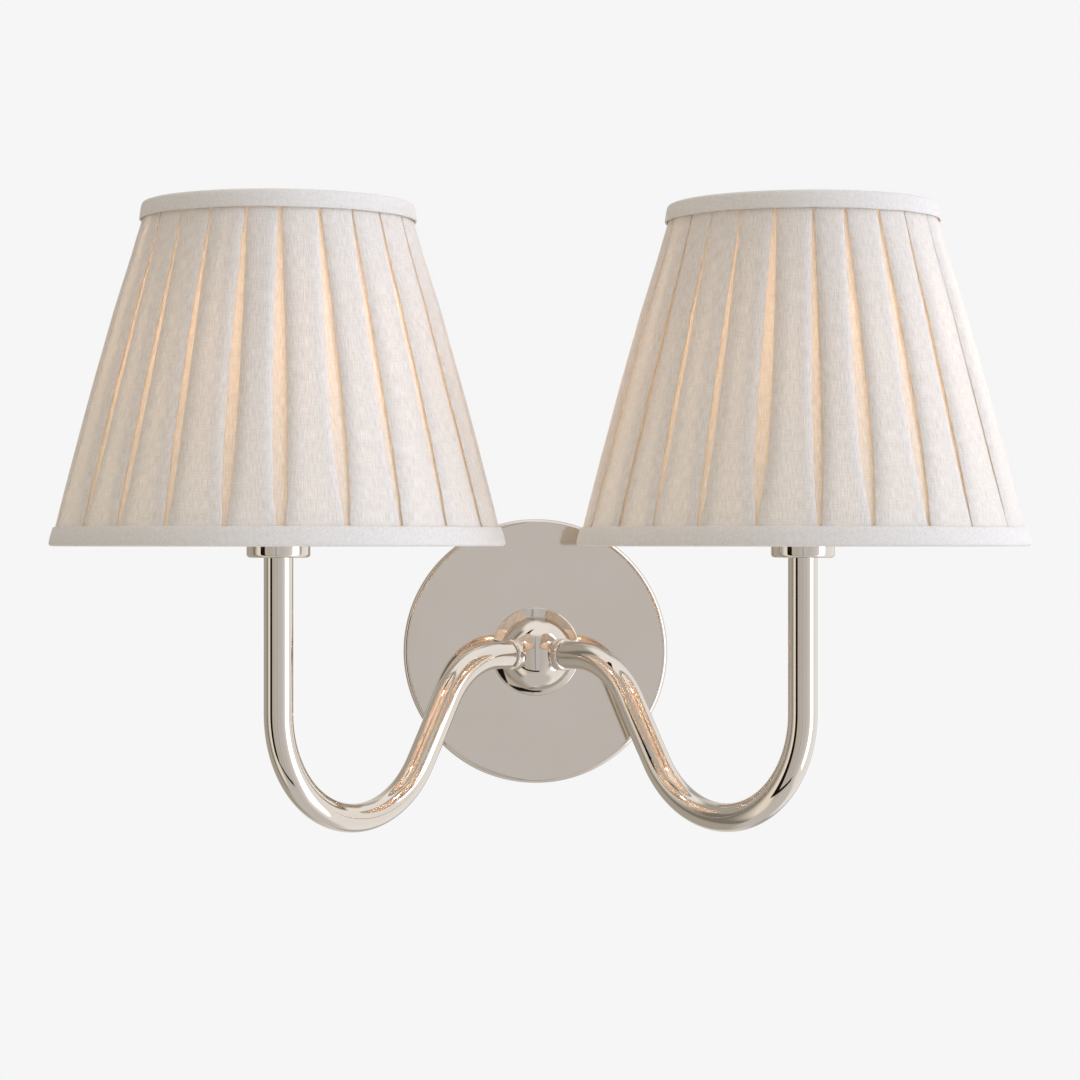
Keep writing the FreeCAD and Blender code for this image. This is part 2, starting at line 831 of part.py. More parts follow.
def make_cup_and_nipple(side, sign):
    radius = d.cup_diameter / 2
    edge = d.cup_edge_radius
    inner_edge = edge - d.cup_wall
    nipple_radius = tube_bore - d.running_clearance
    hole = tube_bore + d.running_clearance
    cup = [
        (hole, 0),
        (radius - edge, 0),
        (radius, edge, edge, "left"),
        (radius, d.cup_height),
        (radius - d.cup_wall, d.cup_height),
        (radius - d.cup_wall, edge),
        (radius - edge, d.cup_wall, inner_edge, "right"),
        (hole, d.cup_wall),
    ]
    turned_part(f"cup_{side}", cup, lamp_axis(sign, d.cup_seat_height))
    nipple = ring_corners(nipple_radius, d.nipple_bore / 2, 0, d.nipple_depth + d.nipple_rise)
    foot = d.cup_seat_height - d.nipple_depth
    turned_part(f"cup_nipple_{side}", nipple, lamp_axis(sign, foot))


# Lampholder: moulded body with a flange, a threaded upper part and a screw shell inside
def make_lampholder(side, sign):
    skirt = d.holder_body_diameter / 2
    flange = d.holder_flange_diameter / 2
    thread = d.holder_thread_diameter / 2
    mouth = d.holder_mouth_diameter / 2
    chamber = d.holder_chamber_diameter / 2
    nipple_hole = tube_bore
    foot = d.cup_wall
    flange_low = d.holder_flange_height
    flange_high = flange_low + d.holder_flange_thickness
    thread_end = flange_high + d.holder_thread_length
    top = foot + d.holder_height
    chamber_low = d.nipple_rise + d.running_clearance
    chamber_high = chamber_low + d.holder_chamber_height - d.nipple_rise
    floor = holder_floor()
    foot_radius = d.cup_edge_radius - d.cup_wall
    corners = [
        (nipple_hole, foot),
        (skirt - foot_radius, foot),
        (skirt, foot + foot_radius, foot_radius, "left"),
        (skirt, flange_low),
        (flange, flange_low),
        (flange, flange_high),
        (thread, flange_high),
        (thread, thread_end),
        (skirt, thread_end),
        (skirt, top),
        (mouth, top),
        (mouth, floor),
        (0, floor),
        (0, chamber_high),
        (chamber, chamber_high),
        (chamber, chamber_low),
        (nipple_hole, chamber_low),
    ]
    turned_part(f"lampholder_{side}", corners, lamp_axis(sign, d.cup_seat_height))
    shell = d.bulb_cap_diameter / 2 + d.bulb_gap
    shell_low = floor + d.shell_lift
    shell_corners = [
        (shell, shell_low),
        (mouth - d.running_clearance, shell_low),
        (mouth - d.running_clearance, shell_low + d.shell_wall),
        (shell + d.shell_wall, shell_low + d.shell_wall),
        (shell + d.shell_wall, shell_low + d.shell_length),
        (shell, shell_low + d.shell_length),
    ]
    turned_part(f"screw_shell_{side}", shell_corners, lamp_axis(sign, d.cup_seat_height))
    contact = d.contact_diameter / 2
    contact_stem = d.contact_stem_diameter / 2
    contact_corners = [
        (0, floor),
        (contact, floor),
        (contact, floor + d.contact_base_height),
        (contact_stem, floor + d.contact_base_height),
        (contact_stem, floor + d.contact_height),
        (0, floor + d.contact_height),
    ]
    turned_part(f"centre_contact_{side}", contact_corners, lamp_axis(sign, d.cup_seat_height))


def holder_floor():
    return d.holder_chamber_height + d.running_clearance + d.holder_floor_thickness


# Shade ring: fluted nut on the lampholder thread that keeps the shade's carrier down
carrier_seat = d.holder_flange_height + d.holder_flange_thickness + d.turning_clearance


def make_shade_ring(side, sign):
    low = carrier_seat + d.carrier_thickness + d.turning_clearance
    radius = d.shade_ring_diameter / 2
    hole = d.holder_thread_diameter / 2 + d.running_clearance
    corners = ring_corners(radius, hole, low, low + d.shade_ring_height)
    body = turned_part(f"shade_ring_{side}", corners, lamp_axis(sign, d.cup_seat_height))

    def flute(sketch):
        draw_circle(sketch, (radius + d.flute_diameter / 2 - d.flute_depth, 0), d.flute_diameter / 2)

    pocket = cut_through(body, "Flute", "XY_Plane", flute, low + d.shade_ring_height, True)
    repeat_round(body, "Flutes", pocket, SIZES["shade_ring_flutes"], "shade_ring_flutes")


def repeat_round(body, name, feature, count, alias):
    pattern = body.newObject("PartDesign::PolarPattern", name)
    pattern.Originals = [feature]
    pattern.Axis = (origin_part(body, "Z_Axis"), [""])
    pattern.Angle = 360
    pattern.Occurrences = count
    pattern.setExpression("Occurrences", f"Sizes.{alias}")
    body.Tip = pattern
    return pattern


# Bulb: candle lamp with a screw cap, a glass envelope and a stem that carries the filaments
bulb_seat = holder_floor() + d.contact_height + d.bulb_gap


def candle_outline(inset):
    """Right half of the glass from its neck to its point, moved inwards by the inset."""
    belly = d.bulb_diameter / 2
    neck = d.bulb_neck_diameter / 2
    curve = d.bulb_neck_radius
    neck_x = neck + curve
    span = belly + curve
    neck_z = d.bulb_centre - root(span * span - neck_x * neck_x)
    meet = belly / span
    flame_x = d.bulb_flame_radius - belly
    point_span = d.bulb_flame_radius - d.bulb_point_radius
    point_rise = root(point_span * point_span - flame_x * flame_x)
    flame_share = (d.bulb_flame_radius - inset) / point_span
    meet_share = (belly - inset) / span
    point_z = d.bulb_centre + point_rise
    return [
        (neck - inset, neck_z),
        (neck_x * meet_share, d.bulb_centre - (d.bulb_centre - neck_z) * meet_share,
         curve + inset, "right"),
        (belly - inset, d.bulb_centre, belly - inset, "left"),
        (flame_x * flame_share - flame_x, d.bulb_centre + point_rise * flame_share,
         d.bulb_flame_radius - inset, "left"),
        (0, point_z + d.bulb_point_radius - inset, d.bulb_point_radius - inset, "left"),
    ]


def make_bulb(side, sign):
    position = lamp_axis(sign, d.cup_seat_height + bulb_seat)
    tip = d.bulb_tip_diameter / 2
    cap = d.bulb_cap_diameter / 2
    cap_inside = cap - d.bulb_cap_wall
    cap_low = d.bulb_tip_length + d.bulb_insulator_length
    cap_high = cap_low + d.bulb_cap_length
    contact = [
        (0, 0),
        (tip - d.bulb_tip_chamfer, 0),
        (tip, d.bulb_tip_length),
        (cap_inside, cap_low),
        (0, cap_low),
    ]
    turned_part(f"bulb_contact_{side}", contact, position)
    shell = [
        (cap_inside, cap_low),
        (cap, cap_low),
        (cap, cap_high),
        (cap_inside, cap_high),
    ]
    turned_part(f"bulb_cap_{side}", shell, position)
    outside = candle_outline(as_size(0))
    inside = candle_outline(d.bulb_glass_wall)
    neck = d.bulb_neck_diameter / 2
    backwards = [inside[-1][:2]]
    for index in range(len(inside) - 1, 0, -1):
        radius, centre_side = inside[index][2:]
        flipped = "left" if centre_side == "right" else "right"
        backwards.append((*inside[index - 1][:2], radius, flipped))
    foot = [(neck - d.bulb_glass_wall, d.bulb_glass_start), (neck, d.bulb_glass_start)]
    turned_part(f"bulb_glass_{side}", foot + outside + backwards, position)
    make_bulb_stem(side, position, cap_low)
    make_filaments(side, sign)


def filament_low():
    return d.bulb_centre - d.filament_length / 2


def make_bulb_stem(side, position, foot):
    radius = d.stem_diameter / 2
    foot_radius = d.stem_foot_diameter / 2
    disc = d.stem_disc_diameter / 2
    thick = d.stem_disc_thickness
    low = filament_low() - thick
    high = filament_low() + d.filament_length
    corners = [
        (0, foot),
        (foot_radius, foot),
        (foot_radius, d.bulb_glass_start),
        (radius, d.bulb_glass_start),
        (radius, low),
        (disc, low),
        (disc, low + thick),
        (radius, low + thick),
        (radius, high),
        (disc, high),
        (disc, high + thick),
        (0, high + thick),
    ]
    turned_part(f"bulb_stem_{side}", corners, position)


def make_filaments(side, sign):
    members = []
    height = d.cup_seat_height + bulb_seat + filament_low()
    for step in range(SIZES["filament_count"]):
        angle = as_size(360 * step + 180) / d.filament_count
        x, y, z = lamp_axis(sign, height)
        stick = doc.addObject("Part::Cylinder", f"Filament{side}{step}")
        bind(stick, Radius=d.filament_diameter / 2, Height=d.filament_length)
        ring = d.filament_circle / 2
        place(stick, (x + ring * cosine(angle), y + ring * sine(angle), z))
        members.append(stick)
    group(f"bulb_filaments_{side}", members)


# Shade: every layer is a cone parallel to the outer face of the trims
slope_cosine = d.shade_height / root(
    d.shade_height * d.shade_height
    + (d.shade_base_diameter - d.shade_top_diameter) / 2
    * (d.shade_base_diameter - d.shade_top_diameter) / 2)
pleat_face = d.trim_thickness + d.layer_gap
valley_face = pleat_face + d.pleat_rise
cover_back = valley_face + d.linen_thickness
lining_face = cover_back + d.layer_gap
lining_back = lining_face + d.lining_thickness
leg_face = lining_back + d.layer_gap
leg_back = leg_face + d.trim_thickness
ring_axis = leg_back + d.layer_gap + d.ring_wire_diameter / 2 / slope_cosine
cover_low = d.trim_thickness + d.layer_gap
cover_high = d.shade_height - d.trim_thickness - d.layer_gap
ring_low = d.trim_inner_leg / 2
ring_high = d.shade_height - d.trim_inner_leg / 2


def layer(height, depth):
    """Radius at a height above the hem of the layer that lies this deep in the shade wall."""
    base = d.shade_base_diameter / 2
    top = d.shade_top_diameter / 2
    return base - (base - top) * height / d.shade_height - depth


def shade_turn(side):
    bearing = SIZES[f"{side}_valley_bearing"]
    return turned_about_z(bearing - 90 + 180 / SIZES["pleat_count"])


def cone_band(outer_depth, inner_depth, low, high):
    return [
        (layer(low, inner_depth), low),
        (layer(low, outer_depth), low),
        (layer(high, outer_depth), high),
        (layer(high, inner_depth), high),
    ]


def pleat_section(body, name, height, valley):
    """Cross-section of one pleat at a height, between two valleys of this width."""
    outer = layer(height, pleat_face)
    inner = layer(height, valley_face + d.linen_thickness / 2)
    degrees_per_radian = 180 / math.pi
    half_angle = as_size(180) / d.pleat_count - valley / (outer * 2) * degrees_per_radian
    along = cosine(half_angle)
    across = sine(half_angle)
    sketch = new_sketch(body, name, "XY_Plane", height)
    draw_outline(sketch, [
        (inner * along, -(inner * across), inner, "right"),
        (outer * along, -(outer * across)),
        (outer * along, outer * across, outer, "left"),
        (inner * along, inner * across),
    ])
    return sketch


def make_cover(side, sign):
    back = cone_band(valley_face, cover_back, cover_low, cover_high)
    body = turned_part(f"pleated_cover_{side}", back, lamp_axis(sign, hem_height), shade_turn(side))
    span = cover_high - cover_low
    stations = (
        (cover_low, d.valley_at_hem),
        (cover_low + span * d.valley_low_share, d.valley_low),
        (cover_low + span * d.valley_high_share, d.valley_high),
        (cover_high, d.valley_at_top),
    )
    sections = []
    for index, (height, valley) in enumerate(stations):
        sections.append(pleat_section(body, f"PleatSection{index}", height, valley))
    doc.recompute()
    pleat = body.newObject("PartDesign::AdditiveLoft", "Pleat")
    pleat.Profile = sections[0]
    pleat.Sections = sections[1:]
    pleat.Ruled = True
    doc.recompute()
    repeat_round(body, "Pleats", pleat, SIZES["pleat_count"], "pleat_count")


def trim_corners(edge_height, step_in, width):
    """Folded band round a rim. Heights run from the rim edge into the shade."""

    def at(depth, rise):
        height = edge_height + rise * step_in
        return (layer(height, depth), height)

    thick = d.trim_thickness
    edge = d.trim_edge_chamfer
    return [
        at(leg_back, d.trim_inner_leg),
        at(leg_back, as_size(0)),
        at(edge, as_size(0)),
        at(as_size(0), edge),
        at(as_size(0), width),
        at(thick, width),
        at(thick, thick),
        at(leg_face, thick),
        at(leg_face, d.trim_inner_leg),
    ]


def make_shade_layers(side, sign):
    position = lamp_axis(sign, hem_height)
    turn = shade_turn(side)
    lining = cone_band(lining_face, lining_back, cover_low, cover_high)
    turned_part(f"shade_lining_{side}", lining, position, turn)
    bottom = trim_corners(as_size(0), 1, d.bottom_trim_width)
    turned_part(f"bottom_trim_{side}", bottom, position, turn)
    top = trim_corners(d.shade_height, -1, d.top_trim_width)
    turned_part(f"top_trim_{side}", top, position, turn)


# Shade frame: two wire rings, straight struts and a carrier that sits on the lampholder flange
def make_frame(side, sign):
    x, y, z = lamp_axis(sign, hem_height)
    for name, height in (("frame_bottom_ring", ring_low), ("frame_top_ring", ring_high)):
        ring = subpart("Part::Torus", f"{name}_{side}")
        bind(ring, Radius1=layer(height, ring_axis), Radius2=d.ring_wire_diameter / 2)
        place(ring, (x, y, z + height))
    make_struts(side, x, y, z)
    make_carrier(side, sign)


def make_struts(side, x, y, z):
    lean = math.degrees(math.atan2(
        layer(ring_low, ring_axis).number - layer(ring_high, ring_axis).number,
        ring_high.number - ring_low.number))
    clear = d.ring_wire_diameter / 2 + d.running_clearance
    rise = ring_high - ring_low
    run = layer(ring_low, ring_axis) - layer(ring_high, ring_axis)
    length = root(rise * rise + run * run)
    start = layer(ring_low, ring_axis) - run / length * clear
    members = []
    for step in range(SIZES["strut_count"]):
        angle = as_size(360 * step + 180) / d.strut_count
        strut = doc.addObject("Part::Cylinder", f"Strut{side}{step}")
        bind(strut, Radius=d.strut_wire_diameter / 2, Height=length - clear * 2)
        rotation = turned_about_z(angle.number) * FreeCAD.Rotation(FreeCAD.Vector(0, 1, 0), -lean)
        foot = (x + start * cosine(angle), y + start * sine(angle),
                z + ring_low + rise / length * clear)
        place(strut, foot, rotation)
        members.append(strut)
    group(f"frame_struts_{side}", members)


def make_carrier(side, sign):
    """Flat ring on the lampholder with wire arms down to the bottom ring of the frame."""
    hole = d.holder_thread_diameter / 2 + d.carrier_clearance
    low = carrier_seat
    high = low + d.carrier_thickness
    corners = ring_corners(d.carrier_diameter / 2, hole, low, high)
    body = turned_part(f"shade_carrier_{side}", corners, lamp_axis(sign, d.cup_seat_height))
    middle = (low + high) / 2
    ring_height = d.cup_reveal + ring_low
    inner = (d.shade_ring_diameter + d.carrier_arm_diameter) / 2
    run = layer(ring_low, ring_axis) - inner
    drop = middle - ring_height
    full = root(run * run + drop * drop)
    length = full - d.ring_wire_diameter / 2 - d.running_clearance
    lean = 90 + math.degrees(math.atan2(drop.number, run.number))
    arm = body.newObject("PartDesign::AdditiveCylinder", "Arm")
    bind(arm, Radius=d.carrier_arm_diameter / 2, Height=length)
    arm.AttachmentSupport = (origin_part(body, "XY_Plane"), [""])
    arm.MapMode = "FlatFace"
    base = FreeCAD.Vector(inner.number, 0, middle.number)
    arm.AttachmentOffset = FreeCAD.Placement(base, FreeCAD.Rotation(FreeCAD.Vector(0, 1, 0), lean))
    arm.setExpression(".AttachmentOffset.Base.x", inner.text)
    arm.setExpression(".AttachmentOffset.Base.z", middle.text)
    doc.recompute()
    repeat_round(body, "Arms", arm, SIZES["carrier_arm_count"], "carrier_arm_count")


# Cables: from the terminals through the stud, the hub and the arm into the lampholder
def rounded_corner(before, corner, after, radius):
    """Ends and middle of the arc that rounds a corner between two straight runs."""
    back = (before - corner).normalize()
    ahead = (after - corner).normalize()
    half = back.getAngle(ahead) / 2
    reach = radius / math.tan(half)
    bisector = (back + ahead).normalize()
    centre = corner + bisector * (radius / math.sin(half))
    return corner + back * reach, centre - bisector * radius, corner + ahead * reach


def make_cable(side, sign):
    offset = d.cable_side_offset.number * sign
    spread = d.terminal_cable_spacing.number / 2 * sign
    rise_depth = -d.cable_rise_depth.number
    bearing = math.radians(arm_bearing(sign))
    hub_depth = ball_depth.number
    hub_centre = FreeCAD.Vector(0, -hub_depth, 0)

    def in_arm(station):
        across = FreeCAD.Vector(math.cos(bearing), math.sin(bearing), 0)
        return hub_centre + across * station.x + FreeCAD.Vector(0, 0, station.y)

    meeting_depth = -hub_depth - abs(offset) * math.tan(math.radians(d.arm_turn.number))
    start = FreeCAD.Vector(spread, rise_depth, d.cable_end_gap.number - d.terminal_top.number)
    elbow = FreeCAD.Vector(offset, rise_depth, 0)
    meeting = FreeCAD.Vector(offset, meeting_depth, 0)
    at = arm_stations()
    first_bend = rounded_corner(start, elbow, meeting, d.cable_entry_radius.number)
    hub_bend = rounded_corner(elbow, meeting, in_arm(at.shoulder_start), d.cable_hub_radius.number)
    end_height = d.cup_seat_height.number + d.nipple_rise.number + d.cable_end_rise.number
    end = in_arm(FreeCAD.Vector(arm_reach.number, end_height, 0))
    bends = [
        first_bend,
        hub_bend,
        (in_arm(at.shoulder_start), in_arm(at.shoulder_middle), in_arm(at.shoulder_end)),
        (in_arm(at.bowl_start), in_arm(at.bowl_middle), in_arm(at.bowl_end)),
    ]
    edges = []
    here = start
    for bend in bends:
        edges.append(Part.LineSegment(here, bend[0]).toShape())
        edges.append(Part.Arc(*bend).toShape())
        here = bend[2]
    edges.append(Part.LineSegment(here, end).toShape())
    route = Part.Wire(edges)
    radius = d.cable_diameter.number / 2
    circle = Part.Circle(start, (elbow - start).normalize(), radius)
    section = Part.Wire(circle.toShape())
    cable = route.makePipeShell([section], True, False)
    expected = math.pi * radius ** 2 * route.Length
    print(f"lamp_cable_{side}: length {route.Length:.1f} mm, volume ratio {cable.Volume / expected:.4f}")
    part = subpart("Part::Feature", f"lamp_cable_{side}")
    part.Shape = cable
    part.Placement = FreeCAD.Placement()


make_backplate()
make_wall_bracket()
make_side_screws()
make_earth_screw()
make_terminal_block()
make_terminal_screws()
make_stud_and_nut()
make_collar()
make_hub()
make_ferrules()
for side, sign in SIDES:
    make_arm(side, sign)
    make_cup_and_nipple(side, sign)
    make_lampholder(side, sign)
    make_shade_ring(side, sign)
    make_bulb(side, sign)
    make_cover(side, sign)
    make_shade_layers(side, sign)
    make_frame(side, sign)
    make_cable(side, sign)
doc.recompute()

for item in doc.Objects:
    if "Invalid" in item.State or "Error" in item.State:
        raise RuntimeError(f"{item.Label} failed: {item.State}")
for part in subparts:
    if part.Shape.isNull() or not part.Shape.isValid() or not part.Shape.Solids:
        raise RuntimeError(f"{part.Label} has no valid solid")

os.makedirs("parts", exist_ok=True)
for part in subparts:
    part.Shape.exportStep(f"parts/{part.Label}.step")
print(f"{len(subparts)} nodes written")
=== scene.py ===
import json
import math
import random
from types import SimpleNamespace

import bpy
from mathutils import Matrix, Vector, noise


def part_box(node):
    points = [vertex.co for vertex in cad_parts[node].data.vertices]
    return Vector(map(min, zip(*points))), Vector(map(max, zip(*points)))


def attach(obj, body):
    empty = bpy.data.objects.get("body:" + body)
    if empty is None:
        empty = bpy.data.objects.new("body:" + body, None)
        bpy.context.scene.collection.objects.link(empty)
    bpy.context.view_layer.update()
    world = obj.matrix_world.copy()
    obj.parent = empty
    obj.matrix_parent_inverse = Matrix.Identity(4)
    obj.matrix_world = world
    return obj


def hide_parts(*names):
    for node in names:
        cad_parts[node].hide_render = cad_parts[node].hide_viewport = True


# Double arm wall light with pleated linen shades, lit. The scene is in metres, with the wall at
# y = 0 and z up.

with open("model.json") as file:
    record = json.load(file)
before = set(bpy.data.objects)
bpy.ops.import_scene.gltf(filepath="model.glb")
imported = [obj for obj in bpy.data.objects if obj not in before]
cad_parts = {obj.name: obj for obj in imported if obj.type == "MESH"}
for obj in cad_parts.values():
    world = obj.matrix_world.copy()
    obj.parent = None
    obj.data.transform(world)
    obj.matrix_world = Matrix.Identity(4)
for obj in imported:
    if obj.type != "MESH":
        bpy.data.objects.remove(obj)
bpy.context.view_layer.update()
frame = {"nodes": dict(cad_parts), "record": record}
for start_object in ("Cube", "Light", "Camera"):
    if start_object in bpy.data.objects:
        bpy.data.objects.remove(bpy.data.objects[start_object])

MM = 0.001
SIDES = ("left", "right")

# Camera, worked out from the photograph's perspective
FRAME_PIXELS = 1080
FOCAL_PIXELS = 2964
SENSOR_WIDTH_MM = 36
CAMERA_PLACE = (-0.022, -1.4777, 0.0547)
CAMERA_YAW_DEGREES = 0.95

# Pleated cover, in millimetres. Shares run from the hem to the top.
PLEAT_COUNT = 23
CLOTH_CUT_WIDTH = 1027.0
PLEAT_CUT_METRES = CLOTH_CUT_WIDTH * MM / PLEAT_COUNT
CLOTH_EDGE_INSET = 1.0
CLOTH_DRAW_IN = (
    (0.0, 0.0), (0.15, -0.1), (0.4, -0.2), (0.65, 0.0), (0.88, 0.8), (0.95, 0.9), (1.0, 0.5),
)
FACE_DEPTH = 1.3
FOLD_THICKNESS = 0.55
UNDERLAP_GAP = 0.15
CLOTH_ROWS = 60
FOLD_STEPS = 4
BAND_STEPS = 14

# The pleats swell from the rims to half way up. Powers say how steep a swell, crown or roll is.
PLEAT_PUFF = 0.6
SWELL_POWER = 0.6
PLEAT_CROWN = 0.25
CROWN_POWER = 4
EDGE_ROLL = 1.15
EDGE_ROLL_WIDTH = 4.4
ROLL_POWER = 2.5
PLEAT_RIPPLE = 0.12
PLEAT_WAVES_PER_RADIAN = 9
PLEAT_WAVES_PER_METRE = 40

# Seen valleys, from left to right: the bearing of the middle one, the degrees by which each one
# strays from an even pitch, and how wide it opens beside the usual width
VALLEY_BEARING = {"left": 5.0, "right": 0.0}
VALLEY_STRAY = {
    "left": (3.7, 2.5, 1.8, 1.5, -0.3, 0.3, -0.3, -1.2, 0.5),
    "right": (3.0, 0.6, -1.2, -1.8, -2.0, -4.2, -4.8, -6.0, -4.5),
}
VALLEY_OPENING = {
    "left": (0.75, 0.75, 0.75, 1.05, 1.2, 1.1, 0.9, 0.8, 0.7),
    "right": (0.6, 0.6, 0.65, 1.0, 0.8, 1.05, 1.0, 0.6, 0.5),
}

# Ranges that the rest is drawn from: the stray and opening of the hidden valleys, and for all of
# them the sideways sway half way up, the width of each half beside the usual, and what the width
# is multiplied by at the hem, which fades out over the foot's share of the height
HIDDEN_STRAY = (-1.2, 1.2)
HIDDEN_OPENING = (0.7, 1.1)
VALLEY_SWAY = (-0.6, 0.6)
VALLEY_HALF = (0.8, 1.2)
VALLEY_FOOT = (0.5, 2.2)
VALLEY_FOOT_SHARE = 0.22

# Every valley's depth at the rims, how much deeper it is half way up, and its usual width by share
VALLEY_DEPTH = 2.4
VALLEY_SINK = 0.7
VALLEY_WIDTHS = (
    (0.0, 1.2), (0.07, 2.4), (0.15, 4.4), (0.26, 5.8), (0.42, 5.6), (0.62, 4.4), (0.82, 3.0),
    (0.93, 1.8), (1.0, 1.0),
)

# Lining, in millimetres
LINING_DEPTH = 3.3
LINING_RIPPLE = 0.1
LINING_WAVES_ROUND = 3
LINING_WAVES_PER_METRE = 20
LINING_COLUMNS = 184
LINING_ROWS = 24

# Tape trims, in millimetres. The face stands proud by a little at shares of its width, and leans
# about another share. Levels are distances from the rim.
TRIM_THICKNESS = 0.9
TRIM_WIDTH = {"top": 7.5, "bottom": 8.0}
TRIM_FACE_PROUD = ((0.3, 0.1), (0.55, 0.15), (0.8, 0.08))
TRIM_LEAN = {"top": 0.8, "bottom": 0.0}
TRIM_LEAN_ABOUT = 0.3
TRIM_RIM_ROUNDING = 1.4
TRIM_EDGE_ROUNDING = 0.35
TRIM_INNER_DEPTH = 3.55
TRIM_INNER_LEG = 6.0
TRIM_BACK_SHARE = 0.6
TRIM_ROUND_STEPS = 8
TRIM_SMALL_STEPS = 4
TRIM_TURN_START = 2.2
TRIM_TURN_LEVEL = 2.0
TRIM_TURN_ROUNDING = 0.9
TRIM_LAP = 9.0
TRIM_LAP_RISE = 0.35
TRIM_COLUMNS = 240

# Unevenness of the tape, in millimetres: slow and fine waves of its face, and its edge's wander.
# The two shades read the noise at places this many times as far apart as they stand.
TRIM_SLOW_WAVE = 0.12
TRIM_FINE_WAVE = 0.06
TRIM_WANDER = 0.2
TRIM_SLOW_WAVES_ROUND = 4
TRIM_FINE_WAVES_ROUND = 14
TRIM_NOISE_SPREAD = 50


def linear(colour):
    """The linear values of a colour that is written as an sRGB hex value."""
    channels = [int(colour[at:at + 2], 16) / 255 for at in (0, 2, 4)]
    values = [c / 12.92 if c <= 0.04045 else ((c + 0.055) / 1.055) ** 2.4 for c in channels]
    return (*values, 1.0)


def per_metre(size_mm):
    """How many features of a size in millimetres go into a metre, which is a pattern's scale."""
    return 1000 / size_mm


def add_node(tree, kind, inputs=None, **settings):
    """Adds a node: its settings by name, and its inputs as plain values or other nodes' outputs."""
    node = tree.nodes.new("ShaderNode" + kind)
    for name, value in settings.items():
        setattr(node, name, value)
    for socket, value in (inputs or {}).items():
        if isinstance(value, bpy.types.NodeSocket):
            tree.links.new(value, node.inputs[socket])
        else:
            node.inputs[socket].default_value = value
    return node


# Light of each bulb: a warm filament lamp, weak beside the bright tent round it
BULB_WATTS = 0.145
BULB_COLOUR = "ffe8e2"
BULB_GLOW_RADIUS_MM = 12

# Sockets of the colour mix node
MIX_FACTOR, MIX_FIRST, MIX_SECOND, MIX_RESULT = 0, 6, 7, 2

# Cloth weave as drawn: a thread's width, how much the weft shows beside the warp, and the tint
# that light takes on its way through
THREAD_MM = 0.5
WEFT_SHARE = 0.3
LIGHT_THROUGH_CLOTH = "fff7e4"


def new_material(name):
    """A material with an empty node tree."""
    material = bpy.data.materials.new(name)
    material.use_nodes = True
    material.node_tree.nodes.clear()
    return material, material.node_tree


def polished_nickel_plate():
    """Nickel plate on buffed brass: a warm mirror, with the faint unevenness that buffing leaves.
    The buffing marks are too fine to show, so they are drawn 1.5 mm wide."""
    material, tree = new_material("polished_nickel_plate")
    place = add_node(tree, "TexCoord").outputs["Object"]
    cloud = add_node(tree, "TexNoise", {"Vector": place, "Scale": per_metre(30), "Detail": 2.0})
    grain = add_node(tree, "TexNoise", {"Vector": place, "Scale": per_metre(1.5), "Detail": 4.0})
    tone = add_node(tree, "Mix", {MIX_FACTOR: cloud.outputs[0], MIX_FIRST: linear("ddd3c9"),
                                  MIX_SECOND: linear("d7cdc2")}, data_type="RGBA")
    gloss = add_node(tree, "MapRange", {"Value": grain.outputs[0], "To Min": 0.03, "To Max": 0.055})
    waves = add_node(tree, "Bump", {"Height": cloud.outputs[0], "Strength": 0.03,
                                    "Distance": 0.1 * MM})
    metal = add_node(tree, "BsdfPrincipled", {
        "Base Color": tone.outputs[MIX_RESULT], "Metallic": 1.0,
        "Roughness": gloss.outputs[0], "Normal": waves.outputs[0]})
    add_node(tree, "OutputMaterial", {"Surface": metal.outputs[0]})
    return material


def plated_metal(name, light, dark, spangle_mm, rough_low, rough_high):
    """Plated or turned hardware: a duller metal with a fine mottle, drawn coarser than the real
    crystals or tool marks, which are too fine to show."""
    material, tree = new_material(name)
    place = add_node(tree, "TexCoord").outputs["Object"]
    mottle = add_node(tree, "TexNoise", {"Vector": place, "Scale": per_metre(spangle_mm),
                                         "Detail": 4.0})
    tone = add_node(tree, "Mix", {MIX_FACTOR: mottle.outputs[0], MIX_FIRST: linear(light),
                                  MIX_SECOND: linear(dark)}, data_type="RGBA")
    gloss = add_node(tree, "MapRange", {"Value": mottle.outputs[0], "To Min": rough_low,
                                        "To Max": rough_high})
    dents = add_node(tree, "Bump", {"Height": mottle.outputs[0], "Strength": 0.15,
                                    "Distance": 0.1 * MM})
    metal = add_node(tree, "BsdfPrincipled", {
        "Base Color": tone.outputs[MIX_RESULT], "Metallic": 1.0,
        "Roughness": gloss.outputs[0], "Normal": dents.outputs[0]})
    add_node(tree, "OutputMaterial", {"Surface": metal.outputs[0]})
    return material


def moulded_plastic(name, light, dark, grain_mm, rough_low, rough_high, refraction):
    """Moulded plastic, a sprayed coat or fired glass: even colour, an even gloss and an eggshell
    grain, drawn a little coarser than it is so that it shows."""
    material, tree = new_material(name)
    place = add_node(tree, "TexCoord").outputs["Object"]
    grain = add_node(tree, "TexNoise", {"Vector": place, "Scale": per_metre(grain_mm),
                                        "Detail": 3.0})
    tone = add_node(tree, "Mix", {MIX_FACTOR: grain.outputs[0], MIX_FIRST: linear(light),
                                  MIX_SECOND: linear(dark)}, data_type="RGBA")
    gloss = add_node(tree, "MapRange", {"Value": grain.outputs[0], "To Min": rough_low,
                                        "To Max": rough_high})
    skin = add_node(tree, "Bump", {"Height": grain.outputs[0], "Strength": 0.1,
                                   "Distance": 0.05 * MM})
    plastic = add_node(tree, "BsdfPrincipled", {
        "Base Color": tone.outputs[MIX_RESULT], "Roughness": gloss.outputs[0],
        "IOR": refraction, "Normal": skin.outputs[0]})
    add_node(tree, "OutputMaterial", {"Surface": plastic.outputs[0]})
    return material


